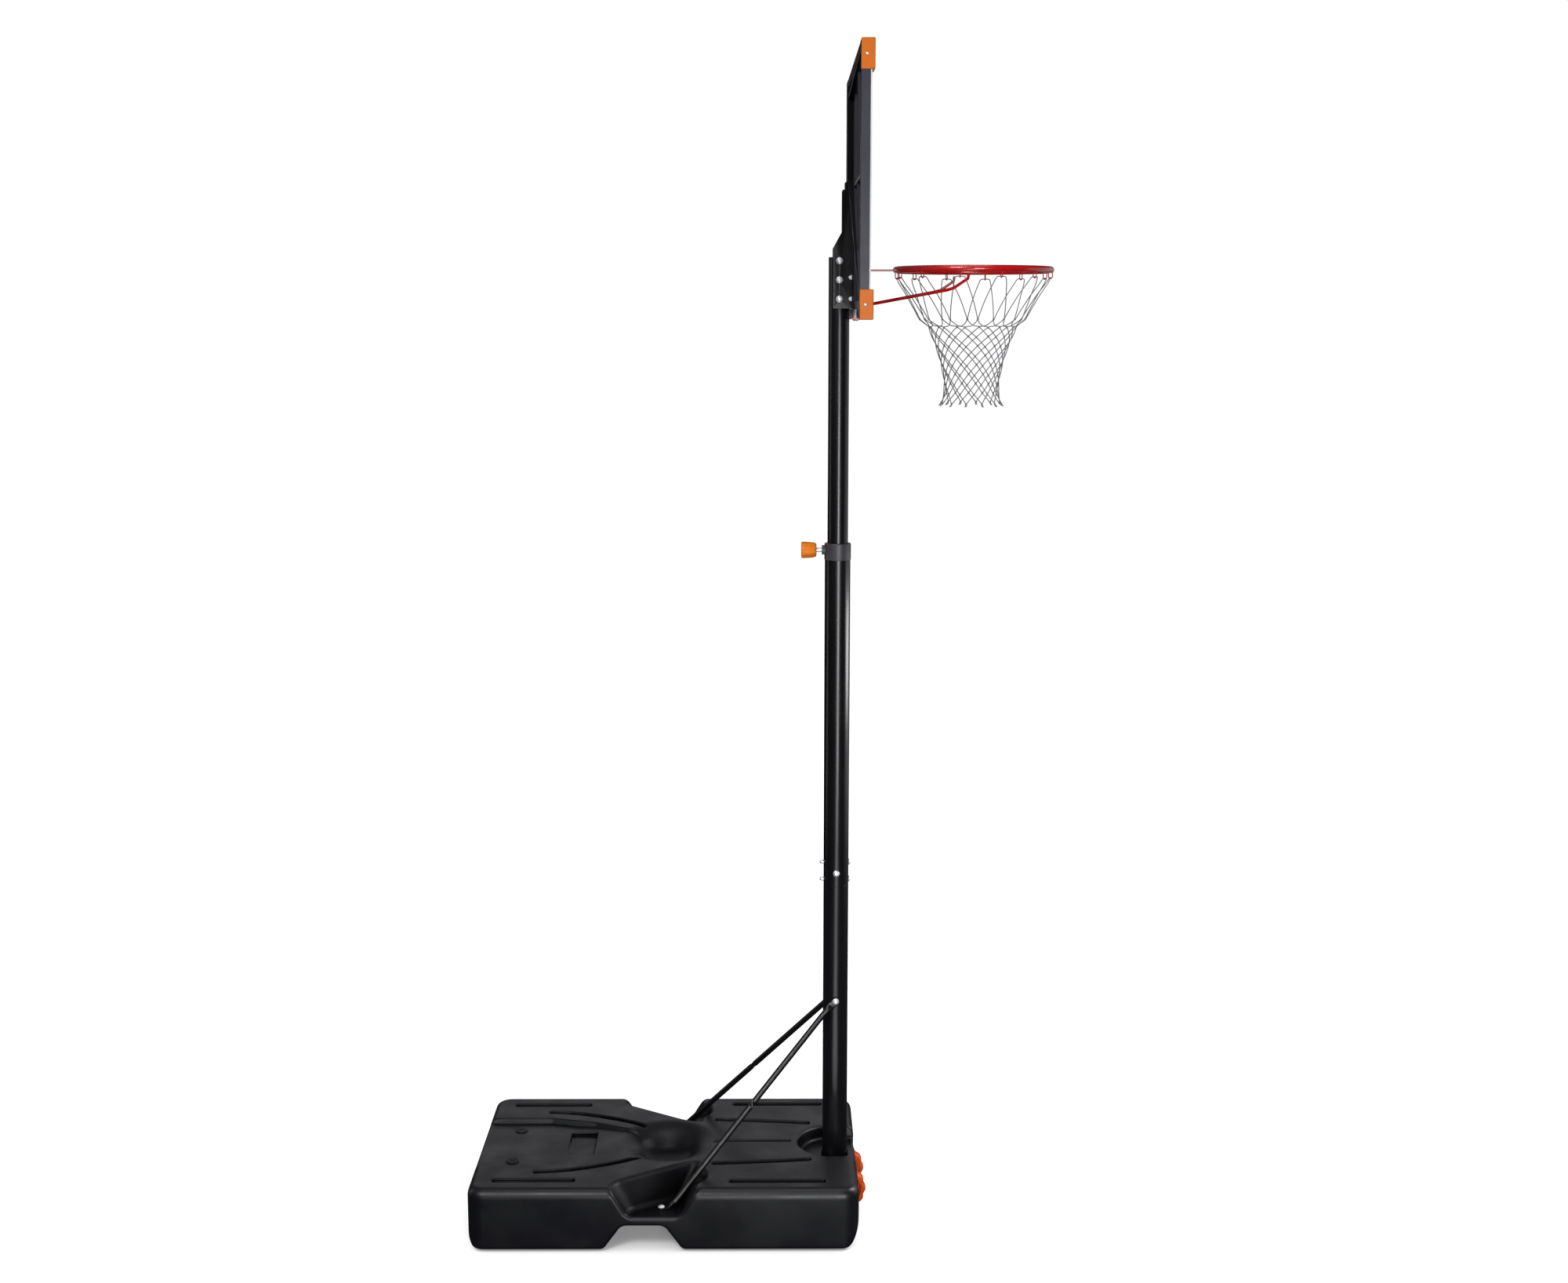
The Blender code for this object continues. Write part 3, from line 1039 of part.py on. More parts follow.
def build_rim():
    points = [(RIM_RADIUS + RIM_ROD_RADIUS * math.cos(a), -RIM_ROD_RADIUS * math.sin(a))
              for a in [math.tau * i / 8 for i in range(8)]]
    middle = Vector((RIM_X, 0, RIM_MIDDLE))
    ring = add("rim_ring", turned_mesh(points, RIM_STEPS), RIM_PAINT, None, None, middle)
    hooks = []
    for number in range(HOOK_COUNT):
        angle = math.tau * (number + 0.5) / HOOK_COUNT
        out = Vector((math.cos(angle), math.sin(angle), 0))
        points = [out * (RIM_RADIUS + across) + Vector((0, 0, -drop)) for across, drop in (
            (-HOOK_HALF_WIDTH, RIM_ROD_RADIUS * 0.5), (-HOOK_HALF_WIDTH, HOOK_BAR_DROP - HOOK_BEND),
            (-HOOK_BEND, HOOK_BAR_DROP), (HOOK_BEND, HOOK_BAR_DROP),
            (HOOK_HALF_WIDTH, HOOK_BAR_DROP - HOOK_BEND), (HOOK_HALF_WIDTH, RIM_ROD_RADIUS * 0.5))]
        hooks.append((tube_mesh(points, HOOK_WIRE_RADIUS, 0), Matrix.Identity(4)))
    combine(ring, tool("net_hooks", group_mesh(hooks), None, middle), "UNION")

    back = PANEL_FRONT + GAP
    face = back + RIM_PLATE_THICKNESS
    plate_top = RIM_MIDDLE - GAP
    hook_top = BOARD_BOTTOM - GAP
    hook_bottom = hook_top - RIM_PLATE_THICKNESS
    plate_under = plate_top - RIM_PLATE_THICKNESS
    plate_end = RIM_X - RIM_RADIUS
    side_profile = [(HOOK_PLATE_REAR, hook_bottom), (face, hook_bottom), (face, plate_under),
                    (plate_end, plate_under), (plate_end, plate_top),
                    (back, plate_top), (back, hook_top), (HOOK_PLATE_REAR, hook_top)]
    folded = sheet_mesh([side_profile], 2 * RIM_PLATE_HALF_WIDTH)
    bracket = add("rim_bracket", folded, RIM_PAINT, None, AXIS_Y)
    relief = rod_mesh(RIM_RADIUS + RIM_ROD_RADIUS + GAP, 4 * RIM_ROD_RADIUS, 2 * RIM_STEPS)
    combine(bracket, tool("ring_relief", relief, None, middle))
    bolt_places = [(back, side * RIM_BOLT_Y, BOARD_BOTTOM + height)
                   for side in (1, -1) for height in RIM_BOLT_HEIGHTS]
    cut_through(bracket, AXIS_X, bolt_places, length=0.04)
    labels = ("low_left", "high_left", "low_right", "high_right")
    for label, (_, y, z) in zip(labels, bolt_places):
        bolted("rim_" + label, (face, y, z), (FLANGE_FROM_AXIS, y, z))

    cut_through(bracket, AXIS_Z, [(HOOK_BOLT_X, 0, hook_top)], length=0.02)
    collar_top = BOARD_BOTTOM + RAIL_NOTCH_HEIGHT - GAP
    head = hook_bottom - GAP
    tip = BOARD_BOTTOM + HOOK_BOLT_LENGTH
    profile = [(0, tip), (BOLT_RADIUS, tip), (BOLT_RADIUS, collar_top), (HOOK_BOLT_COLLAR_RADIUS, collar_top),
               (HOOK_BOLT_COLLAR_RADIUS, hook_top + GAP), (BOLT_RADIUS, hook_top + GAP), (BOLT_RADIUS, head),
               (BOLT_HEAD_RADIUS, head), (BOLT_HEAD_RADIUS, head - 0.0015),
               (BOLT_HEAD_RADIUS * 0.6, head - 0.0045), (0, head - 0.0045)]
    add("rim_hook_bolt", turned_mesh(profile, 10, closed=False), ZINC, None, None, (HOOK_BOLT_X, 0, 0))

    for side, label in ((1, "left"), (-1, "right")):
        start = Vector((back + 0.001, side * BRACE_START_Y, BOARD_BOTTOM + BRACE_START_HEIGHT))
        bend = middle + Vector((BRACE_BEND[0], side * BRACE_BEND[1], BRACE_BEND[2]))
        drop = middle + Vector((BRACE_DROP[0], side * BRACE_DROP[1], BRACE_DROP[2]))
        tip = middle + Vector((BRACE_TIP[0], side * BRACE_TIP[1], BRACE_TIP[2]))
        ahead = start + Vector((0.012, 0, 0))
        points = [start, ahead, bend.lerp(ahead, 0.06), bend.lerp(drop, 0.10), drop, tip]
        brace = tool("rim_brace_" + label, tube_mesh(points, BRACE_RADIUS, 0))
        combine(bracket, brace, "UNION")


def net_radius(drop):
    """The net's radius below its first short row: in to the waist, then flaring out."""
    if drop <= NET_WAIST_DROP:
        share = (NET_WAIST_DROP - drop) / (NET_WAIST_DROP - NET_NECK_DROP)
        return NET_WAIST_RADIUS + (NET_NECK_RADIUS - NET_WAIST_RADIUS) * share ** 1.4
    share = (drop - NET_WAIST_DROP) / (NET_FOOT_DROP - NET_WAIST_DROP)
    return NET_WAIST_RADIUS + (NET_FOOT_RADIUS - NET_WAIST_RADIUS) * share ** 1.6


def build_net():
    """A knotted net: twelve long loops from the hooks, then rows of diamonds."""
    loop_radius = RIM_RADIUS
    loop_drop = HOOK_BAR_DROP - HOOK_WIRE_RADIUS - NET_CORD * 0.6 + 2 * GAP
    rows = [(loop_radius, loop_drop), (NET_KNOT_RADIUS, NET_KNOT_DROP), (NET_NECK_RADIUS, NET_NECK_DROP)]
    for row in range(1, NET_ROWS + 1):
        drop = NET_NECK_DROP + (NET_FOOT_DROP - NET_NECK_DROP) * row / NET_ROWS
        rows.append((net_radius(drop), drop))
    mesh = bpy.data.meshes.new("net")
    shape = bmesh.new()
    knots = []
    for row, (radius, drop) in enumerate(rows):
        turn = 0.5 if row % 2 == 0 else 0.0
        ring = []
        if row == 0:
            knots.append(ring)
            continue
        for number in range(HOOK_COUNT):
            angle = math.tau * (number + turn) / HOOK_COUNT
            ring.append(shape.verts.new((radius * math.cos(angle), radius * math.sin(angle), -drop)))
        knots.append(ring)
    # Each loop lies over its hook's bar, and its long strands belly out before they draw in
    strands = {}
    for number in range(HOOK_COUNT):
        for step in (0, 1):
            start_angle = math.tau * (number + 0.5) / HOOK_COUNT
            end_angle = math.tau * (number + step) / HOOK_COUNT
            spread = (0.004 if step else -0.004) / loop_radius
            top = shape.verts.new((loop_radius * math.cos(start_angle + spread),
                                   loop_radius * math.sin(start_angle + spread), -loop_drop))
            points = [top]
            for share in (0.35, 0.70):
                angle = start_angle + (end_angle - start_angle) * share
                bulge = math.sin(math.pi * share) * NET_BELLY
                radius = loop_radius + (NET_KNOT_RADIUS - loop_radius) * share + bulge
                drop = loop_drop + (NET_KNOT_DROP - loop_drop) * share
                points.append(shape.verts.new((radius * math.cos(angle), radius * math.sin(angle), -drop)))
            strands[(number, step)] = points
    count = HOOK_COUNT
    for number in range(count):
        left = knots[1][number]
        right = knots[1][(number + 1) % count]
        down_left = strands[(number, 0)]
        down_right = strands[(number, 1)]
        shape.faces.new([*down_left, left, knots[2][number], right, *reversed(down_right)])
    for row in range(2, len(rows) - 1):
        upper, middle, lower = knots[row - 1], knots[row], knots[row + 1]
        for number in range(count):
            if row % 2 == 0:
                shape.faces.new([upper[number], middle[number - 1], lower[number], middle[number]])
            else:
                shape.faces.new([upper[number], middle[number], lower[number], middle[(number + 1) % count]])
    shape.normal_update()
    shape.to_mesh(mesh)
    shape.free()
    net = add("net", mesh, NET_CORDAGE, None, None, (RIM_X, 0, RIM_MIDDLE))
    wire = net.modifiers.new("cords", "WIREFRAME")
    wire.thickness = NET_CORD
    wire.offset = 0
    wire.use_even_offset = False
    wire.use_replace = True
    wire.use_boundary = True


build_base()
build_plugs()
build_wheels()
build_poles()
build_clamp()
build_struts()
build_bracket()
build_board()
build_rim()
build_net()
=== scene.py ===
"""Looks for the portable basketball stand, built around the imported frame."""
import json
import math

import bmesh
import bpy
import numpy as np
from mathutils import Matrix, Vector


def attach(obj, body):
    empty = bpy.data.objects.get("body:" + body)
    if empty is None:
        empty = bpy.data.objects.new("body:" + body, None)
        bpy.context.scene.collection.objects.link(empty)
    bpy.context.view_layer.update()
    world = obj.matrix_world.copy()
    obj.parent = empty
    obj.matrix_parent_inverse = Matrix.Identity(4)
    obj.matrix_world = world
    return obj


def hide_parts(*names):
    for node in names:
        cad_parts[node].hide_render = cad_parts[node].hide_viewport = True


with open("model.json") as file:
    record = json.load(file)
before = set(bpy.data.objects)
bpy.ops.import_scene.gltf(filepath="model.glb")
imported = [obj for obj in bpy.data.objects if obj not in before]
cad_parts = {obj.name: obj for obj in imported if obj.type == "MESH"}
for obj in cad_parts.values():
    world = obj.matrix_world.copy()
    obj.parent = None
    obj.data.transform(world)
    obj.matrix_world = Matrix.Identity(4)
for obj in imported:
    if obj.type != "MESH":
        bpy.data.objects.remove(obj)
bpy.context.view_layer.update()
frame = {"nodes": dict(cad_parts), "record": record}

# Places and sizes, in metres, measured from the floor's middle under the stand
POLE_X = 0.253              # the pole's axis
POLE_R = 0.0405
BENT_UP_TO = 0.35           # the pole is straight above this height
RIM_X = POLE_X + 0.4135
RIM_Z = 3.040
RIM_R = 0.2385              # to the middle of the ring's bar
ROD_R = 0.010
HOOKS = 12
BASE_TOP = 0.204
BASE_REAR = POLE_X - 1.168
BASE_FRONT = POLE_X + 0.070
BASE_HALF = 0.382
KNOB_Z = 2.172
STRUT_TOP_Z = 0.701
STRUT_FOOT = (POLE_X - 0.557, 0.315, 0.114)
STRUT_R = 0.0095
GAP = 0.0003                # left between touching pieces
BAND_EDGE_X = POLE_X + 0.041    # the board frame is painted in shade behind this plane
PANEL_FACE_X = POLE_X + 0.0705  # printed lines lie on the panel in front of this plane

# Printed lines: half width, lower edge and upper edge of each rectangle's outside and inside
BORDER = ((0.541, 2.898, 3.650), (0.513, 2.926, 3.622))
TARGET = ((0.245, 3.075, 3.445), (0.215, 3.105, 3.415))

SHARP_ANGLE = 40.0          # degrees; edges sharper than this are softened
BEVEL_STEPS = 2


# Materials
def nodes_of(name):
    material = bpy.data.materials.new(name)
    material.use_nodes = True
    tree = material.node_tree
    return material, tree, tree.nodes["Principled BSDF"]


def link(tree, a, b):
    tree.links.new(a, b)


def coords(tree):
    return tree.nodes.new("ShaderNodeTexCoord").outputs["Object"]


def noise(tree, scale, detail=3.0):
    node = tree.nodes.new("ShaderNodeTexNoise")
    node.inputs["Scale"].default_value = scale
    node.inputs["Detail"].default_value = detail
    link(tree, coords(tree), node.inputs["Vector"])
    return node.outputs["Fac"]


def span(tree, value, low, high, start=0.35, end=0.65):
    """A value's range from start to end stretched to run from low to high."""
    node = tree.nodes.new("ShaderNodeMapRange")
    node.inputs["From Min"].default_value = start
    node.inputs["From Max"].default_value = end
    node.inputs["To Min"].default_value = low
    node.inputs["To Max"].default_value = high
    link(tree, value, node.inputs["Value"])
    return node.outputs["Result"]


def mix(tree, fac, a, b):
    node = tree.nodes.new("ShaderNodeMix")
    node.data_type = "RGBA"
    for socket, value in ((node.inputs["Factor"], fac), (node.inputs["A"], a), (node.inputs["B"], b)):
        if isinstance(value, bpy.types.NodeSocket):
            link(tree, value, socket)
        elif isinstance(value, tuple):
            socket.default_value = (*value, 1)
        else:
            socket.default_value = value
    return node.outputs["Result"]


def math_node(tree, operation, first, second, clamped=False):
    """A sum of two sockets, or of a socket and a number."""
    node = tree.nodes.new("ShaderNodeMath")
    node.operation = operation
    node.use_clamp = clamped
    link(tree, first, node.inputs[0])
    if isinstance(second, bpy.types.NodeSocket):
        link(tree, second, node.inputs[1])
    else:
        node.inputs[1].default_value = second
    return node.outputs[0]


def bump(tree, shader, height, strength, distance):
    node = tree.nodes.new("ShaderNodeBump")
    node.inputs["Strength"].default_value = strength
    node.inputs["Distance"].default_value = distance
    link(tree, height, node.inputs["Height"])
    link(tree, node.outputs["Normal"], shader.inputs["Normal"])


def plastic(name, colour, dark, roughness, grain=900.0, depth=0.00015, patch=6.0, edge=0.0, sheen=0.5):
    """Moulded plastic: a fine grain, a faint cloudiness, slightly uneven gloss and a lighter colour on convex
    edges.
    """
    material, tree, shader = nodes_of(name)
    cloud = noise(tree, patch, 4.0)
    tint = mix(tree, span(tree, cloud, 0.0, 1.0), dark, colour)
    if edge:
        tint = mix(tree, pointed(tree, edge), tint, tuple(c * 2.0 + 0.08 for c in colour))
    link(tree, tint, shader.inputs["Base Color"])
    gloss = span(tree, noise(tree, patch * 3), roughness * 0.85, roughness * 1.15)
    link(tree, gloss, shader.inputs["Roughness"])
    shader.inputs["Specular IOR Level"].default_value = sheen
    bump(tree, shader, noise(tree, grain, 2.0), 0.35, depth)
    return material


def pointed(tree, amount):
    """A lighter colour along convex edges, broken up by noise."""
    geometry = tree.nodes.new("ShaderNodeNewGeometry")
    lighter_edge = span(tree, geometry.outputs["Pointiness"], 0.0, amount, 0.55, 0.66)
    return math_node(tree, "MULTIPLY", lighter_edge, span(tree, noise(tree, 60.0), 0.3, 1.0))


def paint(name, colour, dark, roughness, peel=90.0, coat=0.3):
    """Powder coat: faint clouds, slightly uneven gloss, and orange peel of the given scale."""
    material, tree, shader = nodes_of(name)
    cloud = span(tree, noise(tree, 4.0, 5.0), 0.0, 1.0)
    link(tree, mix(tree, cloud, dark, colour), shader.inputs["Base Color"])
    gloss = span(tree, noise(tree, 6.0, 2.0), roughness * 0.94, roughness * 1.08)
    link(tree, gloss, shader.inputs["Roughness"])
    shader.inputs["Coat Weight"].default_value = coat
    shader.inputs["Coat Roughness"].default_value = 0.12
    if peel:
        bump(tree, shader, noise(tree, peel, 1.0), 0.01, 0.00005)
    return material


def metal(name, colour, roughness):
    """Zinc plate: fine streaks and blotchy gloss."""
    material, tree, shader = nodes_of(name)
    shader.inputs["Metallic"].default_value = 0.60
    streaks = span(tree, noise(tree, 180.0, 4.0), 0.0, 1.0)
    link(tree, mix(tree, streaks, tuple(c * 0.9 for c in colour), colour), shader.inputs["Base Color"])
    link(tree, span(tree, noise(tree, 90.0), roughness * 0.7, roughness * 1.4), shader.inputs["Roughness"])
    bump(tree, shader, noise(tree, 1200.0, 2.0), 0.2, 0.0001)
    return material


def rope(name, colour, dark):
    """Braided cord: crossed twists along the strand and loose fibres."""
    material, tree, shader = nodes_of(name)
    waves = []
    for turn in (0.9, -0.9):
        mapping = tree.nodes.new("ShaderNodeMapping")
        mapping.inputs["Rotation"].default_value = (turn, 0.4 * turn, 0.0)
        link(tree, coords(tree), mapping.inputs["Vector"])
        wave = tree.nodes.new("ShaderNodeTexWave")
        wave.inputs["Scale"].default_value = 260.0
        wave.inputs["Distortion"].default_value = 1.0
        link(tree, mapping.outputs["Vector"], wave.inputs["Vector"])
        waves.append(wave.outputs["Fac"])
    crossed = math_node(tree, "MULTIPLY", waves[0], waves[1])
    link(tree, mix(tree, crossed, dark, colour), shader.inputs["Base Color"])
    shader.inputs["Roughness"].default_value = 0.85
    shader.inputs["Sheen Weight"].default_value = 0.3
    bump(tree, shader, crossed, 0.6, 0.0004)
    return material


BASE = plastic("base_moulding", (0.0056, 0.0060, 0.0092), (0.0042, 0.0045, 0.0070), 0.40,
               grain=700.0, depth=0.0002, patch=3.0, edge=0.40)
STEEL = paint("black_powder_coat", (0.0050, 0.0050, 0.0062), (0.0040, 0.0040, 0.0050), 0.25, peel=0, coat=0.0)
STRUT = paint("strut_powder_coat", (0.0040, 0.0040, 0.0048), (0.0032, 0.0032, 0.0038), 0.32, peel=0, coat=0.0)
FRAME = plastic("frame_moulding", (0.025, 0.025, 0.042), (0.021, 0.021, 0.035), 0.40,
                grain=800.0, depth=0.00008, patch=5.0, edge=0.15)
COLLAR = plastic("collar_moulding", (0.050, 0.050, 0.057), (0.040, 0.040, 0.046), 0.40)
ORANGE = plastic("orange_moulding", (0.68, 0.165, 0.009), (0.62, 0.140, 0.007), 0.42,
                 grain=800.0, depth=0.00005, patch=12.0, sheen=0.25)
KNOB = plastic("knob_moulding", (0.86, 0.235, 0.012), (0.78, 0.20, 0.010), 0.42,
               grain=800.0, depth=0.00005, patch=12.0, sheen=0.25)
WHEEL = plastic("wheel_moulding", (0.92, 0.130, 0.012), (0.84, 0.080, 0.006), 0.40,
                grain=600.0, depth=0.0001, patch=25.0, sheen=0.35)
RED = paint("red_powder_coat", (0.56, 0.010, 0.008), (0.48, 0.006, 0.006), 0.24, coat=0.5)
ZINC = metal("zinc_plate", (0.88, 0.89, 0.93), 0.42)
RUBBER = plastic("black_rubber", (0.010, 0.010, 0.011), (0.006, 0.006, 0.007), 0.60)
CORD = rope("net_cord", (0.30, 0.30, 0.33), (0.20, 0.20, 0.22))


def shade_recesses(material, distance, low, high, gloss):
    """Recesses hold less light: darker and duller there than on open surfaces."""
    tree = material.node_tree
    shader = tree.nodes["Principled BSDF"]
    node = tree.nodes.new("ShaderNodeAmbientOcclusion")
    node.only_local = True
    node.inputs["Distance"].default_value = distance
    exposed = span(tree, node.outputs["AO"], 0.0, 1.0, low, high)
    tint = shader.inputs["Base Color"].links[0].from_socket
    link(tree, mix(tree, exposed, (0.0014, 0.0014, 0.0018), tint), shader.inputs["Base Color"])
    link(tree, span(tree, exposed, 0.05, gloss, 0.0, 1.0), shader.inputs["Specular IOR Level"])


shade_recesses(BASE, 0.16, 0.68, 0.98, 0.5)


def painted_shade_behind(material, edge, colour):
    """Painted shade on the part of a piece that lies behind a plane: a darker colour and less shine there."""
    tree = material.node_tree
    shader = tree.nodes["Principled BSDF"]
    tint = shader.inputs["Base Color"].links[0].from_socket
    split = tree.nodes.new("ShaderNodeSeparateXYZ")
    link(tree, coords(tree), split.inputs[0])
    front = span(tree, split.outputs["X"], 0.0, 1.0, edge - 0.0004, edge + 0.0004)
    link(tree, mix(tree, front, colour, tint), shader.inputs["Base Color"])
    link(tree, span(tree, front, 0.08, 0.5, 0.0, 1.0), shader.inputs["Specular IOR Level"])


# painted shade: the board frame's recessed back is drawn near-black and dull behind the band's edge
painted_shade_behind(FRAME, BAND_EDGE_X, (0.0030, 0.0030, 0.0036))


def box_mask(tree, y, z, half_y, low_z, high_z):
    """1 inside a rectangle of the board's face, 0 outside it."""
    parts = []
    for value, low, high in ((y, -half_y, half_y), (z, low_z, high_z)):
        for operation, edge in (("GREATER_THAN", low), ("LESS_THAN", high)):
            parts.append(math_node(tree, operation, value, edge))
    result = parts[0]
    for part in parts[1:]:
        result = math_node(tree, "MULTIPLY", result, part)
    return result


def panel_material():
    """Pale sheet with a dark border line and the target square on its front."""
    material, tree, shader = nodes_of("panel_sheet")
    split = tree.nodes.new("ShaderNodeSeparateXYZ")
    link(tree, coords(tree), split.inputs[0])
    y, z = split.outputs["Y"], split.outputs["Z"]
    front = math_node(tree, "GREATER_THAN", split.outputs["X"], PANEL_FACE_X)
    lines = []
    for outside, inside in (BORDER, TARGET):
        outer, inner = box_mask(tree, y, z, *outside), box_mask(tree, y, z, *inside)
        band = math_node(tree, "SUBTRACT", outer, inner, clamped=True)
        lines.append(math_node(tree, "MULTIPLY", band, front))
    pale = mix(tree, span(tree, noise(tree, 5.0, 4.0), 0.0, 1.0), (0.66, 0.67, 0.69), (0.76, 0.77, 0.79))
    tint = mix(tree, lines[0], pale, (0.018, 0.018, 0.020))
    tint = mix(tree, lines[1], tint, (0.64, 0.13, 0.015))
    link(tree, tint, shader.inputs["Base Color"])
    link(tree, span(tree, noise(tree, 40.0), 0.16, 0.26), shader.inputs["Roughness"])
    bump(tree, shader, noise(tree, 25.0, 1.0), 0.05, 0.0005)
    return material


PANEL = panel_material()


# Shapes
def new_object(name, mesh, material, smooth):
    """A mesh as an object of one material; smooth is the sharp angle in degrees, 0 for none."""
    mesh.materials.clear()
    mesh.materials.append(material)
    mesh.shade_smooth()
    if smooth:
        mesh.set_sharp_from_angle(angle=math.radians(smooth))
    obj = bpy.data.objects.new(name, mesh)
    bpy.context.scene.collection.objects.link(obj)
    return obj


def applied(obj):
    """Apply an object's modifiers to its mesh."""
    bpy.context.view_layer.update()
    evaluated = obj.evaluated_get(bpy.context.evaluated_depsgraph_get())
    mesh = bpy.data.meshes.new_from_object(evaluated)
    old = obj.data
    obj.modifiers.clear()
    obj.data = mesh
    bpy.data.meshes.remove(old)


def place_piece(obj, body, node):
    """The object moves with its body, and the CAD node it takes the place of is hidden."""
    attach(obj, body)
    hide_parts(node)


def dress(node, material, edge):
    """A CAD node's shape with softened edges and its own material."""
    mesh = frame["nodes"][node].data.copy()
    shape = bmesh.new()
    shape.from_mesh(mesh)
    bmesh.ops.remove_doubles(shape, verts=shape.verts, dist=0.00003)
    bmesh.ops.dissolve_limit(shape, angle_limit=math.radians(1.0), verts=shape.verts, edges=shape.edges)
    shape.to_mesh(mesh)
    shape.free()
    if "custom_normal" in mesh.attributes:
        mesh.attributes.remove(mesh.attributes["custom_normal"])
    obj = new_object(node + "_look", mesh, material, 0)
    modifier = obj.modifiers.new("edges", "BEVEL")
    modifier.width = edge
    modifier.segments = BEVEL_STEPS
    modifier.limit_method = "ANGLE"
    modifier.angle_limit = math.radians(SHARP_ANGLE)
    applied(obj)
    obj.data.shade_smooth()
    obj.data.set_sharp_from_angle(angle=math.radians(SHARP_ANGLE))
    modifier = obj.modifiers.new("normals", "WEIGHTED_NORMAL")
    modifier.keep_sharp = True
    applied(obj)
    if node.startswith("pole_"):
        round_normals(obj.data)
    place_piece(obj, body_name(node), node)


def round_normals(mesh):
    """Normals of a tube round the pole's axis, on its outer and inner walls only."""
    normals = [corner.vector.copy() for corner in mesh.corner_normals]
    for face in mesh.polygons:
        for corner in face.loop_indices:
            place = mesh.vertices[mesh.loops[corner].vertex_index].co
            outward = Vector((place.x - POLE_X, place.y, 0)).normalized()
            facing = face.normal.dot(outward)
            if abs(facing) > 0.97 and place.z > BENT_UP_TO:
                normals[corner] = outward if facing > 0 else -outward
    mesh.normals_split_custom_set(normals)


def body_name(node):
    """The moving body that a CAD node belongs to."""
    for body, members in frame["record"]["behaviour"]["bodies"].items():
        if node in members:
            return body
    raise KeyError(node)


def prism(outline, low, high, matrix=None):
    """A flat outline extruded between two heights."""
    mesh = bpy.data.meshes.new("prism")
    shape = bmesh.new()
    floor = [shape.verts.new((x, y, low)) for x, y in outline]
    roof = [shape.verts.new((x, y, high)) for x, y in outline]
    shape.faces.new(floor[::-1])
    shape.faces.new(roof)
    count = len(outline)
    for i in range(count):
        j = (i + 1) % count
        shape.faces.new([floor[i], floor[j], roof[j], roof[i]])
    bmesh.ops.recalc_face_normals(shape, faces=shape.faces)
    shape.to_mesh(mesh)
    shape.free()
    if matrix is not None:
        mesh.transform(matrix)
    return mesh


def loft(rings, closed_path=False):
    """Skin a list of equal rings of points; an open row of rings is capped at both ends."""
    mesh = bpy.data.meshes.new("loft")
    shape = bmesh.new()
    rows = [[shape.verts.new(p) for p in ring] for ring in rings]
    count = len(rows[0])
    total = len(rows) if closed_path else len(rows) - 1
    for i in range(total):
        a, b = rows[i], rows[(i + 1) % len(rows)]
        for k in range(count):
            m = (k + 1) % count
            shape.faces.new([a[k], a[m], b[m], b[k]])
    if not closed_path:
        shape.faces.new(rows[0][::-1])
        shape.faces.new(rows[-1])
    bmesh.ops.recalc_face_normals(shape, faces=shape.faces)
    shape.to_mesh(mesh)
    shape.free()
    return mesh


def turned(profile, steps):
    """A closed (radius, height) profile turned about Z."""
    rings = []
    for i in range(steps):
        c, s = math.cos(math.tau * i / steps), math.sin(math.tau * i / steps)
        rings.append([(r * c, r * s, h) for r, h in profile])
    mesh = loft(rings, closed_path=True)
    shape = bmesh.new()
    shape.from_mesh(mesh)
    bmesh.ops.remove_doubles(shape, verts=shape.verts, dist=0.00001)
    shape.to_mesh(mesh)
    shape.free()
    return mesh


def tube(points, radius, steps):
    """Rings of a round bar along a smooth path."""
    rings = []
    side = None
    for i, point in enumerate(points):
        ahead = (points[min(i + 1, len(points) - 1)] - points[max(i - 1, 0)]).normalized()
        if side is None:
            side = ahead.orthogonal().normalized()
        side = (side - ahead * side.dot(ahead)).normalized()
        up = ahead.cross(side)
        ring = []
        for k in range(steps):
            angle = math.tau * k / steps
            ring.append(point + (side * math.cos(angle) + up * math.sin(angle)) * radius)
        rings.append(ring)
    return rings


def smooth_path(points, pieces):
    """A smooth path through the points, with each gap cut into pieces."""
    path = []
    count = len(points)
    for i in range(count - 1):
        p0 = points[max(i - 1, 0)]
        p1, p2 = points[i], points[i + 1]
        p3 = points[min(i + 2, count - 1)]
        for k in range(pieces):
            t = k / pieces
            path.append(0.5 * (2 * p1 + (p2 - p0) * t + (2 * p0 - 5 * p1 + 4 * p2 - p3) * t * t
                               + (3 * p1 - p0 - 3 * p2 + p3) * t ** 3))
    path.append(points[-1])
    return path


def join(meshes):
    """One mesh out of several, which are used up."""
    whole = bpy.data.meshes.new("joined")
    shape = bmesh.new()
    for mesh in meshes:
        shape.from_mesh(mesh)
        bpy.data.meshes.remove(mesh)
    shape.to_mesh(whole)
    shape.free()
    return whole


UP_TO_NEAR_SIDE = Matrix(((1, 0, 0, 0), (0, 0, -1, 0), (0, 1, 0, 0), (0, 0, 0, 1)))   # turns +Z to -Y


# The base, as a field of distances
EVERYWHERE = ((-9, -9, -9), (9, 9, 9))


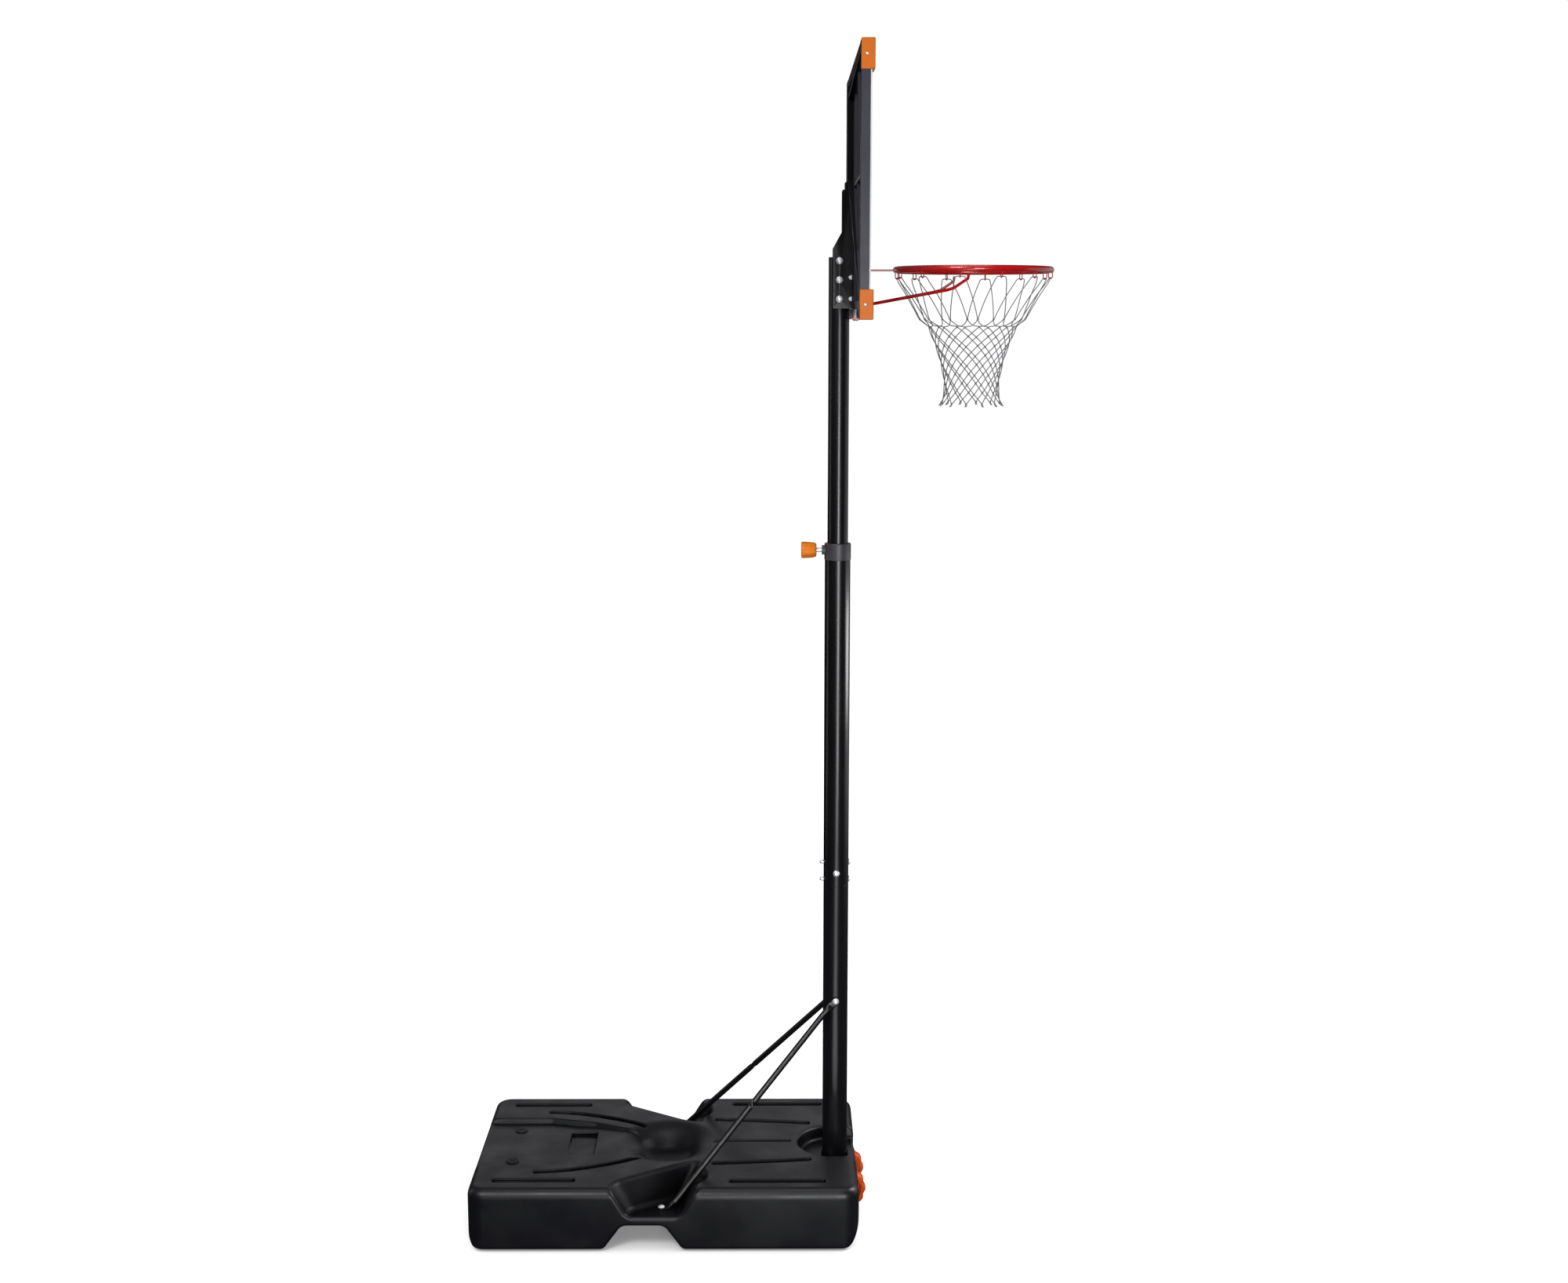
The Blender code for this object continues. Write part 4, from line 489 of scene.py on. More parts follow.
class Field:
    """A grid of signed distances, negative inside, from which a smooth skin is drawn."""

    def __init__(self, low, high, step):
        self.step = step
        margin = 3.37 * step        # not a whole number of steps: no flat face falls on the grid
        self.low = np.array(low, dtype=np.float64) - margin
        count = np.ceil((np.array(high) - self.low) / step).astype(int) + 4
        self.axes = [(self.low[i] + step * np.arange(count[i])).astype(np.float32) for i in range(3)]
        self.values = np.full(tuple(count), -1.0, dtype=np.float32)

    def block(self, low, high):
        """The grid's coordinates and values inside a box."""
        cut = tuple(slice(*np.searchsorted(axis, (a, b))) for axis, a, b in zip(self.axes, low, high))
        x, y, z = (axis[part] for axis, part in zip(self.axes, cut))
        return x[:, None, None], y[None, :, None], z[None, None, :], cut

    def keep(self, shape, radius):
        """Keep what lies inside a shape, with the new corner rounded."""
        x, y, z, cut = self.block(*EVERYWHERE)
        self.values[cut] = meet(self.values[cut], shape(x, y, z), radius)

    def cut(self, shape, radius, low=EVERYWHERE[0], high=EVERYWHERE[1]):
        """Take a shape away inside a box, with the new corner rounded."""
        x, y, z, cut = self.block(low, high)
        self.values[cut] = meet(self.values[cut], -shape(x, y, z), radius)

    def skin(self):
        """One vertex in each cell that the surface crosses, one face round each crossed grid edge."""
        values = self.values
        inside = values < 0
        corners = [(i, j, k) for i in (0, 1) for j in (0, 1) for k in (0, 1)]
        shape = np.array(values.shape) - 1
        total = sum(inside[i:i + shape[0], j:j + shape[1], k:k + shape[2]].astype(np.int8)
                    for i, j, k in corners)
        cells = np.argwhere((total > 0) & (total < 8))
        number = np.full(tuple(shape), -1, dtype=np.int32)
        number[tuple(cells.T)] = np.arange(len(cells))
        point = np.zeros((len(cells), 3))
        hits = np.zeros((len(cells), 1))
        for a in corners:
            for axis in range(3):
                if a[axis]:
                    continue
                b = list(a)
                b[axis] = 1
                first = values[tuple((cells + a).T)]
                second = values[tuple((cells + b).T)]
                crossed = (first < 0) != (second < 0)
                share = np.where(crossed, first / np.where(crossed, first - second, 1), 0)
                spot = np.tile(np.array(a, dtype=float), (len(cells), 1))
                spot[:, axis] = share
                point += spot * crossed[:, None]
                hits += crossed[:, None]
        points = self.low + self.step * (cells + point / hits)
        faces = []
        for axis in range(3):
            u, v = (axis + 1) % 3, (axis + 2) % 3
            first = [slice(None)] * 3
            second = [slice(None)] * 3
            first[axis] = slice(0, -1)
            second[axis] = slice(1, None)
            a, b = inside[tuple(first)], inside[tuple(second)]
            for sign in (0, 1):
                edges = np.argwhere((a != b) & (a if sign else b))
                ring = []
                for du, dv in ((0, 0), (-1, 0), (-1, -1), (0, -1)):
                    cell = edges.copy()
                    cell[:, u] += du
                    cell[:, v] += dv
                    ring.append(number[tuple(cell.T)])
                faces.append(np.stack(ring if sign else ring[::-1], axis=1))
        return points, np.concatenate(faces)


def meet(a, b, radius):
    """Where both shapes are solid, with the corner between them rounded."""
    if not radius:
        return np.maximum(a, b)
    over = np.sqrt(np.maximum(a + radius, 0) ** 2 + np.maximum(b + radius, 0) ** 2)
    return np.minimum(np.maximum(a, b), -radius) + over


def either(a, b, radius):
    """Where at least one shape is solid, with the corner between them filled."""
    return -meet(-a, -b, radius)


def plane(x, z, start, end):
    """Distance from the line through two points, positive on its left."""
    run, rise = end[0] - start[0], end[1] - start[1]
    length = math.hypot(run, rise)
    return ((z - start[1]) * run - (x - start[0]) * rise) / length


def outline(points):
    """Distance from a convex outline that runs anticlockwise, negative inside."""
    def shape(x, y):
        value = None
        for start, end in zip(points, points[1:] + points[:1]):
            side = -plane(x, y, start, end)
            value = side if value is None else np.maximum(value, side)
        return value
    return shape


def path_distance(x, y, points):
    """Distance in plan from a path of straight pieces."""
    best = None
    for a, b in zip(points, points[1:]):
        run, rise = b[0] - a[0], b[1] - a[1]
        share = np.clip(((x - a[0]) * run + (y - a[1]) * rise) / (run * run + rise * rise), 0, 1)
        away = np.sqrt((x - a[0] - share * run) ** 2 + (y - a[1] - share * rise) ** 2)
        best = away if best is None else np.minimum(best, away)
    return best


# Its hollows, in metres along and across the base; along is measured from the pole's axis
CORNER_R = 0.055
TOP_FILLET, BOTTOM_FILLET = 0.030, 0.016
FRONT_NOSE, REAR_NOSE = (0.060, 0.100), (0.045, 0.055)      # run and rise of the rounded lower ends
TUNNEL_TOP = 0.085
TUNNEL_REAR = (-0.749, -0.680)          # at the floor's height and at the tunnel's top
TUNNEL_FRONT = (-0.477, -0.546)
POCKET_FLOOR = 0.114
PLATFORM = ((-1.30, -0.187), (-0.955, -0.187), (-0.80, -0.150), (-0.655, -0.085), (-0.60, 0.0),
            (-0.655, 0.085), (-0.80, 0.150), (-0.955, 0.187), (-1.30, 0.187))
WINDOW = (-0.835, 0.012, 0.043, 0.088)  # middle, then half sizes
BOWL_AT, BOWL_R, BOWL_FLOOR = -0.552, 0.060, 0.142
DISH_R, DISH_FLOOR = 0.112, 0.163
SPINE_GROOVE = ((-0.395, 0), (-0.150, 0))
SIDE_GROOVES = (                        # path, width; repeated on the other side
    (((-1.082, 0.303), (-0.842, 0.303)), 0.026),
    (((-0.332, 0.310), (-0.048, 0.310)), 0.026),
    (((-0.392, 0.176), (-0.32, 0.171), (-0.24, 0.164), (-0.16, 0.156), (-0.090, 0.147)), 0.023),
    (((-0.960, 0.240), (-0.900, 0.234), (-0.850, 0.224), (-0.795, 0.206), (-0.740, 0.184), (-0.690, 0.160),
      (-0.640, 0.130)), 0.023))
FILLER = (-1.051, 0.123)
FILLER_BORE_R, FILLER_RING_R = 0.0152, 0.0215
WELL_Y, WELL_HALF, WELL_TOP = 0.087, 0.0355, 0.158


def build_base():
    px = POLE_X
    top = BASE_TOP
    middle = (BASE_REAR + BASE_FRONT) / 2
    half_length = (BASE_FRONT - BASE_REAR) / 2
    step = 0.003
    field = Field((BASE_REAR, -BASE_HALF, 0), (BASE_FRONT, BASE_HALF, top), step)

    def plan(x, y, z):
        across = np.abs(x - middle) - half_length + CORNER_R
        along = np.abs(y) - BASE_HALF + CORNER_R
        return (np.sqrt(np.maximum(across, 0) ** 2 + np.maximum(along, 0) ** 2)
                + np.minimum(np.maximum(across, along), 0) - CORNER_R)

    def nose(size, edge, way):
        """A rounded lower end, wider or taller than a plain fillet."""
        run, rise = size

        def shape(x, y, z):
            u = np.maximum((x - edge) * way + run, 0) / run
            v = np.maximum(rise - z, 0) / rise
            return (np.sqrt(u * u + v * v) - 1) * min(run, rise) + y * 0
        return shape

    field.keep(plan, 0)
    field.keep(nose(FRONT_NOSE, BASE_FRONT, 1), 0.01)
    field.keep(nose(REAR_NOSE, BASE_REAR, -1), 0.01)
    field.keep(lambda x, y, z: z - top, TOP_FILLET)
    field.keep(lambda x, y, z: -z, BOTTOM_FILLET)

    # cross tunnel
    def tunnel(x, y, z):
        rear = plane(x, z, (px + TUNNEL_REAR[0], -0.01), (px + TUNNEL_REAR[1], TUNNEL_TOP))
        front = plane(x, z, (px + TUNNEL_FRONT[1], TUNNEL_TOP), (px + TUNNEL_FRONT[0], -0.01))
        return meet(meet(rear, front, 0.0), z - TUNNEL_TOP, 0.012) + y * 0
    field.cut(tunnel, 0.010)

    # side pockets, each with a rounded lobe on its front side
    for s in (1, -1):
        def pocket(x, y, z, s=s):
            deep = top + 0.010 - z
            y = y * s
            rear = -(x - (px - 0.721 + 0.60 * deep)) * 0.857
            front = (x - (px - 0.436 - 0.62 * deep)) * 0.850
            slant = (-0.5493 * (x - px + 0.721) - 0.8356 * (y - 0.320) + 0.48 * deep) * 0.9015
            back = -(y - 0.150 - 0.54 * deep) * 0.88
            value = meet(meet(rear, front, 0.02), meet(slant, back, 0.03), 0.022)
            value = meet(value, POCKET_FLOOR - z, 0.014)
            lobe = (np.sqrt((x - px + 0.464) ** 2 + (y - 0.262) ** 2) - 0.052 + (top - z) * 0.45) * 0.91
            lobe = meet(lobe, top - 0.040 - z, 0.018)
            return either(value, lobe, 0.022)
        low, high = sorted((s * 0.08, s * 0.5))
        field.cut(pocket, 0.011, (px - 0.80, low, 0.06), (px - 0.34, high, 1))

    # lower rear platform, whose walls run in towards the bowl
    flat = outline([(px + x, y) for x, y in PLATFORM])

    def platform(x, y, z):
        sunk = 0.016 - 0.010 * np.clip((x - px + 0.86) / 0.24, 0, 1)
        return meet(flat(x, y) + (top - z) * 0.5, top - sunk - z, 0.006)
    field.cut(platform, 0.006, (-9, -0.26, 0.16), (px - 0.50, 0.26, 1))

    # shallow window, deeper at its far end
    def window(x, y, z):
        at_x, at_y, half_x, half_y = WINDOW
        sides = np.maximum(np.abs(x - px - at_x) - half_x, np.abs(y - at_y) - half_y)
        floor = top - 0.018 - 0.008 * np.clip((y + 0.05) / 0.15, 0, 1)
        return np.maximum(sides, floor - z)
    field.cut(window, 0.002, (px - 0.95, -0.15, 0.16), (px - 0.72, 0.15, 1))

    # bowl, dish and their lips
    def bowl(x, y, z):
        away = np.sqrt((x - px - BOWL_AT) ** 2 + y * y)
        wall = (away - BOWL_R - (z - 0.140) * 1.16) * 0.653
        return meet(wall, BOWL_FLOOR - z, 0.016)
    field.cut(bowl, 0.028, (px - 0.80, -0.26, 0.10), (px - 0.30, 0.26, 1))

    def dish(x, y, z):
        away = np.sqrt((x - px) ** 2 * (x < px) + y * y)
        return meet((away - DISH_R - (z - DISH_FLOOR) * 0.30) * 0.957, DISH_FLOOR - z, 0.010)
    field.cut(dish, 0.007, (px - 0.20, -0.20, 0.12), (9, 0.20, 1))

    # grooves
    grooves = [(SPINE_GROOVE, 0.012, 0.008)]
    for s in (1, -1):
        grooves += [([(x, s * y) for x, y in path], width, 0.011) for path, width in SIDE_GROOVES]
    for path, width, depth in grooves:
        points = [(px + x, y) for x, y in path]

        def trough(x, y, z):
            sides = (path_distance(x, y, points) - width / 2 + (top - z) * 0.40) * 0.93
            return meet(sides, top - depth - z, 0.003)
        xs, ys = [p[0] for p in points], [p[1] for p in points]
        low, high = (min(xs) - 0.05, min(ys) - 0.05, 0.17), (max(xs) + 0.05, max(ys) + 0.05, 1)
        field.cut(trough, 0.0025, low, high)

    # filler holes with a raised ring, wheel wells and the pole's seat
    fx, fy = FILLER
    for s in (1, -1):
        def from_filler(x, y, s=s):
            return np.sqrt((x - px - fx) ** 2 + (y - s * fy) ** 2)

        def ring(x, y, z):
            wall = np.abs(from_filler(x, y) - FILLER_RING_R) - 0.0025
            return np.maximum(wall, np.abs(z - 0.186) - 0.0035)

        def bore(x, y, z):
            return np.maximum(from_filler(x, y) - FILLER_BORE_R, 0.10 - z)

        def well(x, y, z, s=s):
            return np.maximum(np.maximum(px - 0.0560 - x, np.abs(y - s * WELL_Y) - WELL_HALF), z - WELL_TOP)

        x, y, z, cut = field.block((px - 1.09, s * fy - 0.04, 0.17), (px - 1.01, s * fy + 0.04, 0.20))
        field.values[cut] = either(field.values[cut], ring(x, y, z), 0.002)
        field.cut(bore, 0.001, (px - 1.09, s * fy - 0.04, 0.08), (px - 1.01, s * fy + 0.04, 1))
        field.cut(well, 0.004, (px - 0.10, s * WELL_Y - 0.06, -1), (9, s * WELL_Y + 0.06, 0.18))

    def seat(x, y, z):
        return np.maximum(np.maximum(np.abs(x - px) - 0.0415, np.abs(y) - 0.0232), 0.0445 - z)
    field.cut(seat, 0.002, (px - 0.08, -0.06, 0.02), (px + 0.08, 0.06, 1))

    points, faces = field.skin()
    mesh = bpy.data.meshes.new("base")
    mesh.vertices.add(len(points))
    mesh.vertices.foreach_set("co", points.ravel())
    mesh.loops.add(faces.size)
    mesh.loops.foreach_set("vertex_index", faces.ravel())
    mesh.polygons.add(len(faces))
    mesh.polygons.foreach_set("loop_start", np.arange(0, faces.size, 4))
    mesh.update(calc_edges=True)
    mesh.validate()
    block = new_object("base_tank_look", mesh, BASE, 0)
    relax = block.modifiers.new("relax", "SMOOTH")
    relax.factor = 0.5
    relax.iterations = 1
    applied(block)
    block.data.shade_smooth()
    place_piece(block, "stand", "base_tank")


# The rim and the net
# Out from the ring's middle line, drop
HOOK_PATH = ((-0.006, 0.004), (-0.006, 0.014), (-0.0058, 0.0225), (-0.003, 0.0262), (0, 0.0268),
             (0.003, 0.0262), (0.0058, 0.0225), (0.006, 0.014), (0.006, 0.004))
HOOK_ROD_R = 0.0016


def build_rim():
    """The ring's round bar and the hooks under it."""
    steps, around = 160, 20
    upward = Vector((0, 0, 1))
    rings = []
    for i in range(steps):
        angle = math.tau * i / steps
        out = Vector((math.cos(angle), math.sin(angle), 0))
        centre = Vector((RIM_X, 0, RIM_Z)) + out * RIM_R
        turns = [math.tau * k / around for k in range(around)]
        rings.append([centre + (out * math.cos(turn) + upward * math.sin(turn)) * ROD_R for turn in turns])
    meshes = [loft(rings, closed_path=True)]
    for number in range(HOOKS):
        angle = math.tau * (number + 0.5) / HOOKS
        out = Vector((math.cos(angle), math.sin(angle), 0))
        points = [Vector((RIM_X, 0, RIM_Z - drop)) + out * (RIM_R + across) for across, drop in HOOK_PATH]
        meshes.append(loft(tube(smooth_path(points, 3), HOOK_ROD_R, 8)))
    ring = new_object("rim_ring_look", join(meshes), RED, 60)
    place_piece(ring, "upper", "rim_ring")


# Drop below the ring's middle, and the net's radius there
NET_PROFILE = ((0.0237, 0.2385), (0.028, 0.2365), (0.054, 0.221), (0.082, 0.2006), (0.092, 0.1955),
               (0.120, 0.180), (0.150, 0.163), (0.173, 0.136), (0.188, 0.1300), (0.235, 0.111), (0.270, 0.099),
               (0.325, 0.0865), (0.363, 0.083), (0.391, 0.086), (0.408, 0.094), (0.420, 0.103))
CORD_R = 0.0015
KNOT_SIZE = (0.0029, 0.0034, 0.0038)
HALF_WAY_DROP = 0.150       # two neighbouring loops are knotted here
FIRST_ROW, ROW_STEP, ROWS = 0.1745, 0.0292, 9
# A loop's half from its hook down: steps round the ring, drop
LOOP_STRAND = ((0.180, 0.045), (0.270, 0.075), (0.370, 0.108), (0.450, 0.135), (0.50, HALF_WAY_DROP),
               (0.60, 0.1620), (0.76, 0.1705))


def net_point(step, drop, out=0.0):
    """A point of the net: step counts hooks round the ring, drop runs down from the ring's middle."""
    radius = float(np.interp(drop, [row[0] for row in NET_PROFILE], [row[1] for row in NET_PROFILE])) + out
    angle = math.tau * (step + 0.5) / HOOKS
    return Vector((RIM_X + radius * math.cos(angle), radius * math.sin(angle), RIM_Z - drop))


def build_net():
    """Cords laid one by one: twelve hung loops, crossed rows below them and a knot at every crossing."""
    unit = math.tau / HOOKS * RIM_R
    corner = [(0.0, 0.0237), (0.0090 / unit, 0.0237), (0.0140 / unit, 0.0255), (0.0172 / unit, 0.0310)]
    drops = [FIRST_ROW + ROW_STEP * row for row in range(ROWS)]
    over = CORD_R * 0.9         # crossing cords pass one outside and one inside the net's surface
    cords = []
    knots = []
    for number in range(HOOKS):
        for way in (1, -1):
            path = [net_point(number + way * step, drop) for step, drop in corner]
            path += [net_point(number + way * step, drop, way * CORD_R * min(step * 1.8, 0.9))
                     for step, drop in LOOP_STRAND]
            path += [net_point(number + way * (1 + row / 2), drop, way * over)
                     for row, drop in enumerate(drops)]
            path.append(net_point(number + way * (1.03 + (ROWS - 1) / 2), drops[-1] + 0.008, 0.002))
            cords.append(path)
        knots.append((number + 0.5, HALF_WAY_DROP))
        knots += [(number + row / 2, drop) for row, drop in enumerate(drops)]
    pieces = [loft(tube(smooth_path(path, 4), CORD_R, 8)) for path in cords]
    for step, drop in knots:
        shape = bmesh.new()
        turn = Matrix.Rotation(math.tau * (step + 0.5) / HOOKS, 4, "Z")
        place = Matrix.Translation(net_point(step, drop)) @ turn @ Matrix.Diagonal((*KNOT_SIZE, 1))
        bmesh.ops.create_icosphere(shape, subdivisions=2, radius=1.0, matrix=place)
        mesh = bpy.data.meshes.new("knot")
        shape.to_mesh(mesh)
        shape.free()
        pieces.append(mesh)
    net = new_object("net_look", join(pieces), CORD, 70)
    place_piece(net, "upper", "net")


# Wheels and knob
WHEEL_AT = (POLE_X + 0.0245, 0.080, 0.078)
WHEEL_HALF = 0.020
TREAD_R = 0.066             # scallops are cut outside this radius
SCALLOPS, SCALLOP_DEPTH = 12, 0.0045
WHEEL_PROFILE = (           # radius, height over the wheel's middle; the outer face first, then the inner
    (0.0165, 0.020), (0.0175, 0.017), (0.0195, 0.004), (0.054, 0.004), (0.0585, 0.017), (0.0600, 0.020),
    (0.067, 0.020), (0.0705, 0.0184), (0.0735, 0.0145), (0.0750, 0.009), (0.0750, -0.009), (0.0735, -0.0145),
    (0.0705, -0.0184), (0.067, -0.020), (0.016, -0.020), (0.016, -0.0277), (0.0054, -0.0277), (0.0054, 0.020))
WHEEL_RIBS = 6
KNOB_PROFILE = ((0, 0), (0.0225, 0), (0.0248, 0.0008), (0.0260, 0.0030), (0.0260, 0.012), (0.0252, 0.028),
                (0.0236, 0.040), (0.0216, 0.0455), (0.0185, 0.0480), (0.0080, 0.0480), (0.0080, 0.0215),
                (0, 0.0215))
FLUTES, FLUTE_DEPTH = 8, 0.0012


def build_wheels():
    """Scalloped treads with a ribbed hollow on the outer face."""
    for side, label in ((1, "left"), (-1, "right")):
        mesh = turned(WHEEL_PROFILE, 144)
        for vertex in mesh.vertices:
            r = math.hypot(vertex.co.x, vertex.co.y)
            if r > TREAD_R:
                angle = math.atan2(vertex.co.y, vertex.co.x)
                wave = (0.5 - 0.5 * math.cos(SCALLOPS * angle)) ** 1.5
                dip = wave * SCALLOP_DEPTH * min((r - TREAD_R) / 0.007, 1)
                vertex.co.x *= 1 - dip / r
                vertex.co.y *= 1 - dip / r
        meshes = [mesh]
        rib = [(0.018, -0.0015), (0.058, -0.0015), (0.058, 0.0015), (0.018, 0.0015)]
        for k in range(WHEEL_RIBS):
            spin = Matrix.Rotation(math.tau * k / WHEEL_RIBS, 4, "Z")
            meshes.append(prism(rib, WHEEL_HALF - 0.017, WHEEL_HALF - 0.004, spin))
        turn = UP_TO_NEAR_SIDE if side < 0 else UP_TO_NEAR_SIDE @ Matrix.Rotation(math.pi, 4, "X")
        whole = join(meshes)
        whole.transform(Matrix.Translation((WHEEL_AT[0], side * WHEEL_AT[1], WHEEL_AT[2])) @ turn)
        wheel = new_object("wheel_%s_look" % label, whole, WHEEL, 32)
        place_piece(wheel, "wheel_" + label, "wheel_" + label)


def build_knob():
    """A round grip with shallow flutes and a blind bore for its screw."""
    mesh = turned(KNOB_PROFILE, 96)
    for vertex in mesh.vertices:
        r = math.hypot(vertex.co.x, vertex.co.y)
        if r > 0.018:
            flute = (0.5 + 0.5 * math.cos(FLUTES * math.atan2(vertex.co.y, vertex.co.x))) ** 8
            vertex.co.x *= 1 - FLUTE_DEPTH * flute / r
            vertex.co.y *= 1 - FLUTE_DEPTH * flute / r
    mesh.transform(Matrix.Translation((POLE_X - 0.115, 0, KNOB_Z)) @ Matrix.Rotation(math.pi / 2, 4, "Y"))
    knob = new_object("lock_knob_look", mesh, KNOB, 40)
    place_piece(knob, body_name("lock_knob"), "lock_knob")


# Struts
EAR_HALF_THICK, EAR_HALF_WIDE, EAR_END = 0.0025, 0.013, 0.012
FLATTENED = 0.060           # how far from each end the tube is pressed
STRUT_SIDES = 20


def build_struts():
    """Tubes pressed flat at both ends and bent to their seats."""
    for side, label in ((1, "left"), (-1, "right")):
        top = Vector((POLE_X, side * (POLE_R + GAP + EAR_HALF_THICK), STRUT_TOP_Z))
        foot = Vector((STRUT_FOOT[0], side * STRUT_FOOT[1], STRUT_FOOT[2] + GAP + EAR_HALF_THICK))
        slope = Vector((top.x - foot.x, 0, top.z - foot.z)).normalized()
        plan = Vector((foot.x - top.x, foot.y - top.y, 0)).normalized()
        lift = Vector((0, side * 0.008, 0))
        knee_top = top - slope * 0.062 + lift
        knee_foot = foot - plan * 0.052 + Vector((0, 0, 0.0165))
        points = [top + slope * EAR_END, top, top - slope * 0.016, top - slope * 0.034 + lift * 0.45,
                  knee_top]
        points += [knee_top.lerp(knee_foot, k / 8) for k in range(1, 8)]
        points += [knee_foot, foot - plan * 0.036 + Vector((0, 0, 0.0075)), foot - plan * 0.020, foot,
                   foot + plan * EAR_END]
        path = smooth_path(points, 5)
        run = [0.0]
        for a, b in zip(path, path[1:]):
            run.append(run[-1] + (b - a).length)
        rings = []
        for i, point in enumerate(path):
            ahead = (path[min(i + 1, len(path) - 1)] - path[max(i - 1, 0)]).normalized()
            near_top, near_foot = run[i], run[-1] - run[i]
            end = min(near_top, near_foot)
            flat = min(max(0.0, 1 - end / FLATTENED) * 1.9, 1.0)
            flat = flat * flat * (3 - 2 * flat)
            normal = Vector((0, 1, 0)) if near_top < near_foot else Vector((0, 0, 1))
            depth = (normal - ahead * normal.dot(ahead)).normalized()
            across = ahead.cross(depth)
            wide = STRUT_R + (EAR_HALF_WIDE - STRUT_R) * flat
            thin = STRUT_R + (EAR_HALF_THICK - STRUT_R) * flat
            if end < EAR_END:
                wide *= math.sqrt(max(1 - ((EAR_END - end) / 0.0128) ** 2, 0.05))
            power = 1 - 0.35 * flat
            ring = []
            for k in range(STRUT_SIDES):
                c, s = math.cos(math.tau * k / STRUT_SIDES), math.sin(math.tau * k / STRUT_SIDES)
                ring.append(point + across * wide * math.copysign(abs(c) ** power, c)
                            + depth * thin * math.copysign(abs(s) ** power, s))
            rings.append(ring)
        strut = new_object("strut_%s_look" % label, loft(rings), STRUT, 50)
        place_piece(strut, "stand", "strut_" + label)


build_base()
build_rim()
build_net()
build_wheels()
build_knob()
build_struts()

# The other nodes keep their shapes: material and width of the softened edge
LOOKS = {
    "pole_lower": (STEEL, 0.0004), "pole_middle": (STEEL, 0.0004), "pole_upper": (STEEL, 0.0004),
    "pole_top_cap": (RUBBER, 0.0005), "pole_guide_bush": (COLLAR, 0.0003), "height_collar": (COLLAR, 0.0010),
    "lock_screw": (ZINC, 0.0003),
    "pole_bracket_left": (STEEL, 0.0005), "pole_bracket_right": (STEEL, 0.0005),
    "board_frame": (FRAME, 0.0008), "board_panel": (PANEL, 0.0006), "rim_bracket": (RED, 0.0006),
    "filler_plug_left": (RUBBER, 0.0006), "filler_plug_right": (RUBBER, 0.0006),
}
for node in frame["nodes"]:
    if node.startswith("corner_cap_"):
        LOOKS[node] = (ORANGE, 0.0012)
    elif node.endswith(("_bolt", "_nut", "_axle")) or node.startswith(("cap_screw_", "axle_end_cap_")):
        LOOKS[node] = (ZINC, 0.0005)
for node, (material, edge) in LOOKS.items():
    dress(node, material, edge)


# Floor, backdrop, camera and lights
SKY = (0.045, 0.045, 0.052)
FLOOR_GLOW = 0.62
FLOOR_PALE = (0.80, 0.80, 0.80, 1)
FLOOR_IN_REFLECTIONS = (0.05, 0.05, 0.06, 1)
SHADOW_REACH = 0.30


def build_stage():
    """A pale floor that glows towards the backdrop, with a painted shadow where the stand rests on it."""
    mesh = prism([(-30, -30), (30, -30), (30, 60), (-30, 60)], -0.02, -0.0005)
    material = bpy.data.materials.new("floor")
    material.use_nodes = True
    tree = material.node_tree
    tree.nodes.clear()
    output = tree.nodes.new("ShaderNodeOutputMaterial")
    pale = tree.nodes.new("ShaderNodeBsdfDiffuse")
    pale.inputs["Color"].default_value = FLOOR_PALE
    dim = tree.nodes.new("ShaderNodeBsdfDiffuse")
    dim.inputs["Color"].default_value = FLOOR_IN_REFLECTIONS
    glow = tree.nodes.new("ShaderNodeEmission")
    glow.inputs["Color"].default_value = (1, 1, 1, 1)
    away = tree.nodes.new("ShaderNodeVectorMath")
    away.operation = "LENGTH"
    link(tree, coords(tree), away.inputs[0])
    shade = tree.nodes.new("ShaderNodeAmbientOcclusion")
    shade.inputs["Distance"].default_value = SHADOW_REACH
    outward = span(tree, away.outputs["Value"], FLOOR_GLOW, 1.0, 0.9, 2.6)
    # painted shadow: the floor's glow is dimmed where the stand hems it in
    open_floor = span(tree, shade.outputs["AO"], 0.25, 1.0, 0.08, 0.55)
    link(tree, math_node(tree, "MULTIPLY", outward, open_floor), glow.inputs["Strength"])
    both = tree.nodes.new("ShaderNodeAddShader")
    link(tree, pale.outputs[0], both.inputs[0])
    link(tree, glow.outputs[0], both.inputs[1])
    path = tree.nodes.new("ShaderNodeLightPath")
    choice = tree.nodes.new("ShaderNodeMixShader")
    link(tree, path.outputs["Is Camera Ray"], choice.inputs["Fac"])
    link(tree, dim.outputs[0], choice.inputs[1])
    link(tree, both.outputs[0], choice.inputs[2])
    link(tree, choice.outputs[0], output.inputs["Surface"])
    mesh.materials.append(material)
    floor = bpy.data.objects.new("floor", mesh)
    bpy.context.scene.collection.objects.link(floor)

    world = bpy.data.worlds.new("studio")
    world.use_nodes = True
    bpy.context.scene.world = world
    tree = world.node_tree
    background = tree.nodes["Background"]
    path = tree.nodes.new("ShaderNodeLightPath")
    tint = mix(tree, path.outputs["Is Camera Ray"], SKY, (1.0, 1.0, 1.0))
    link(tree, tint, background.inputs["Color"])
    background.inputs["Strength"].default_value = 1.0


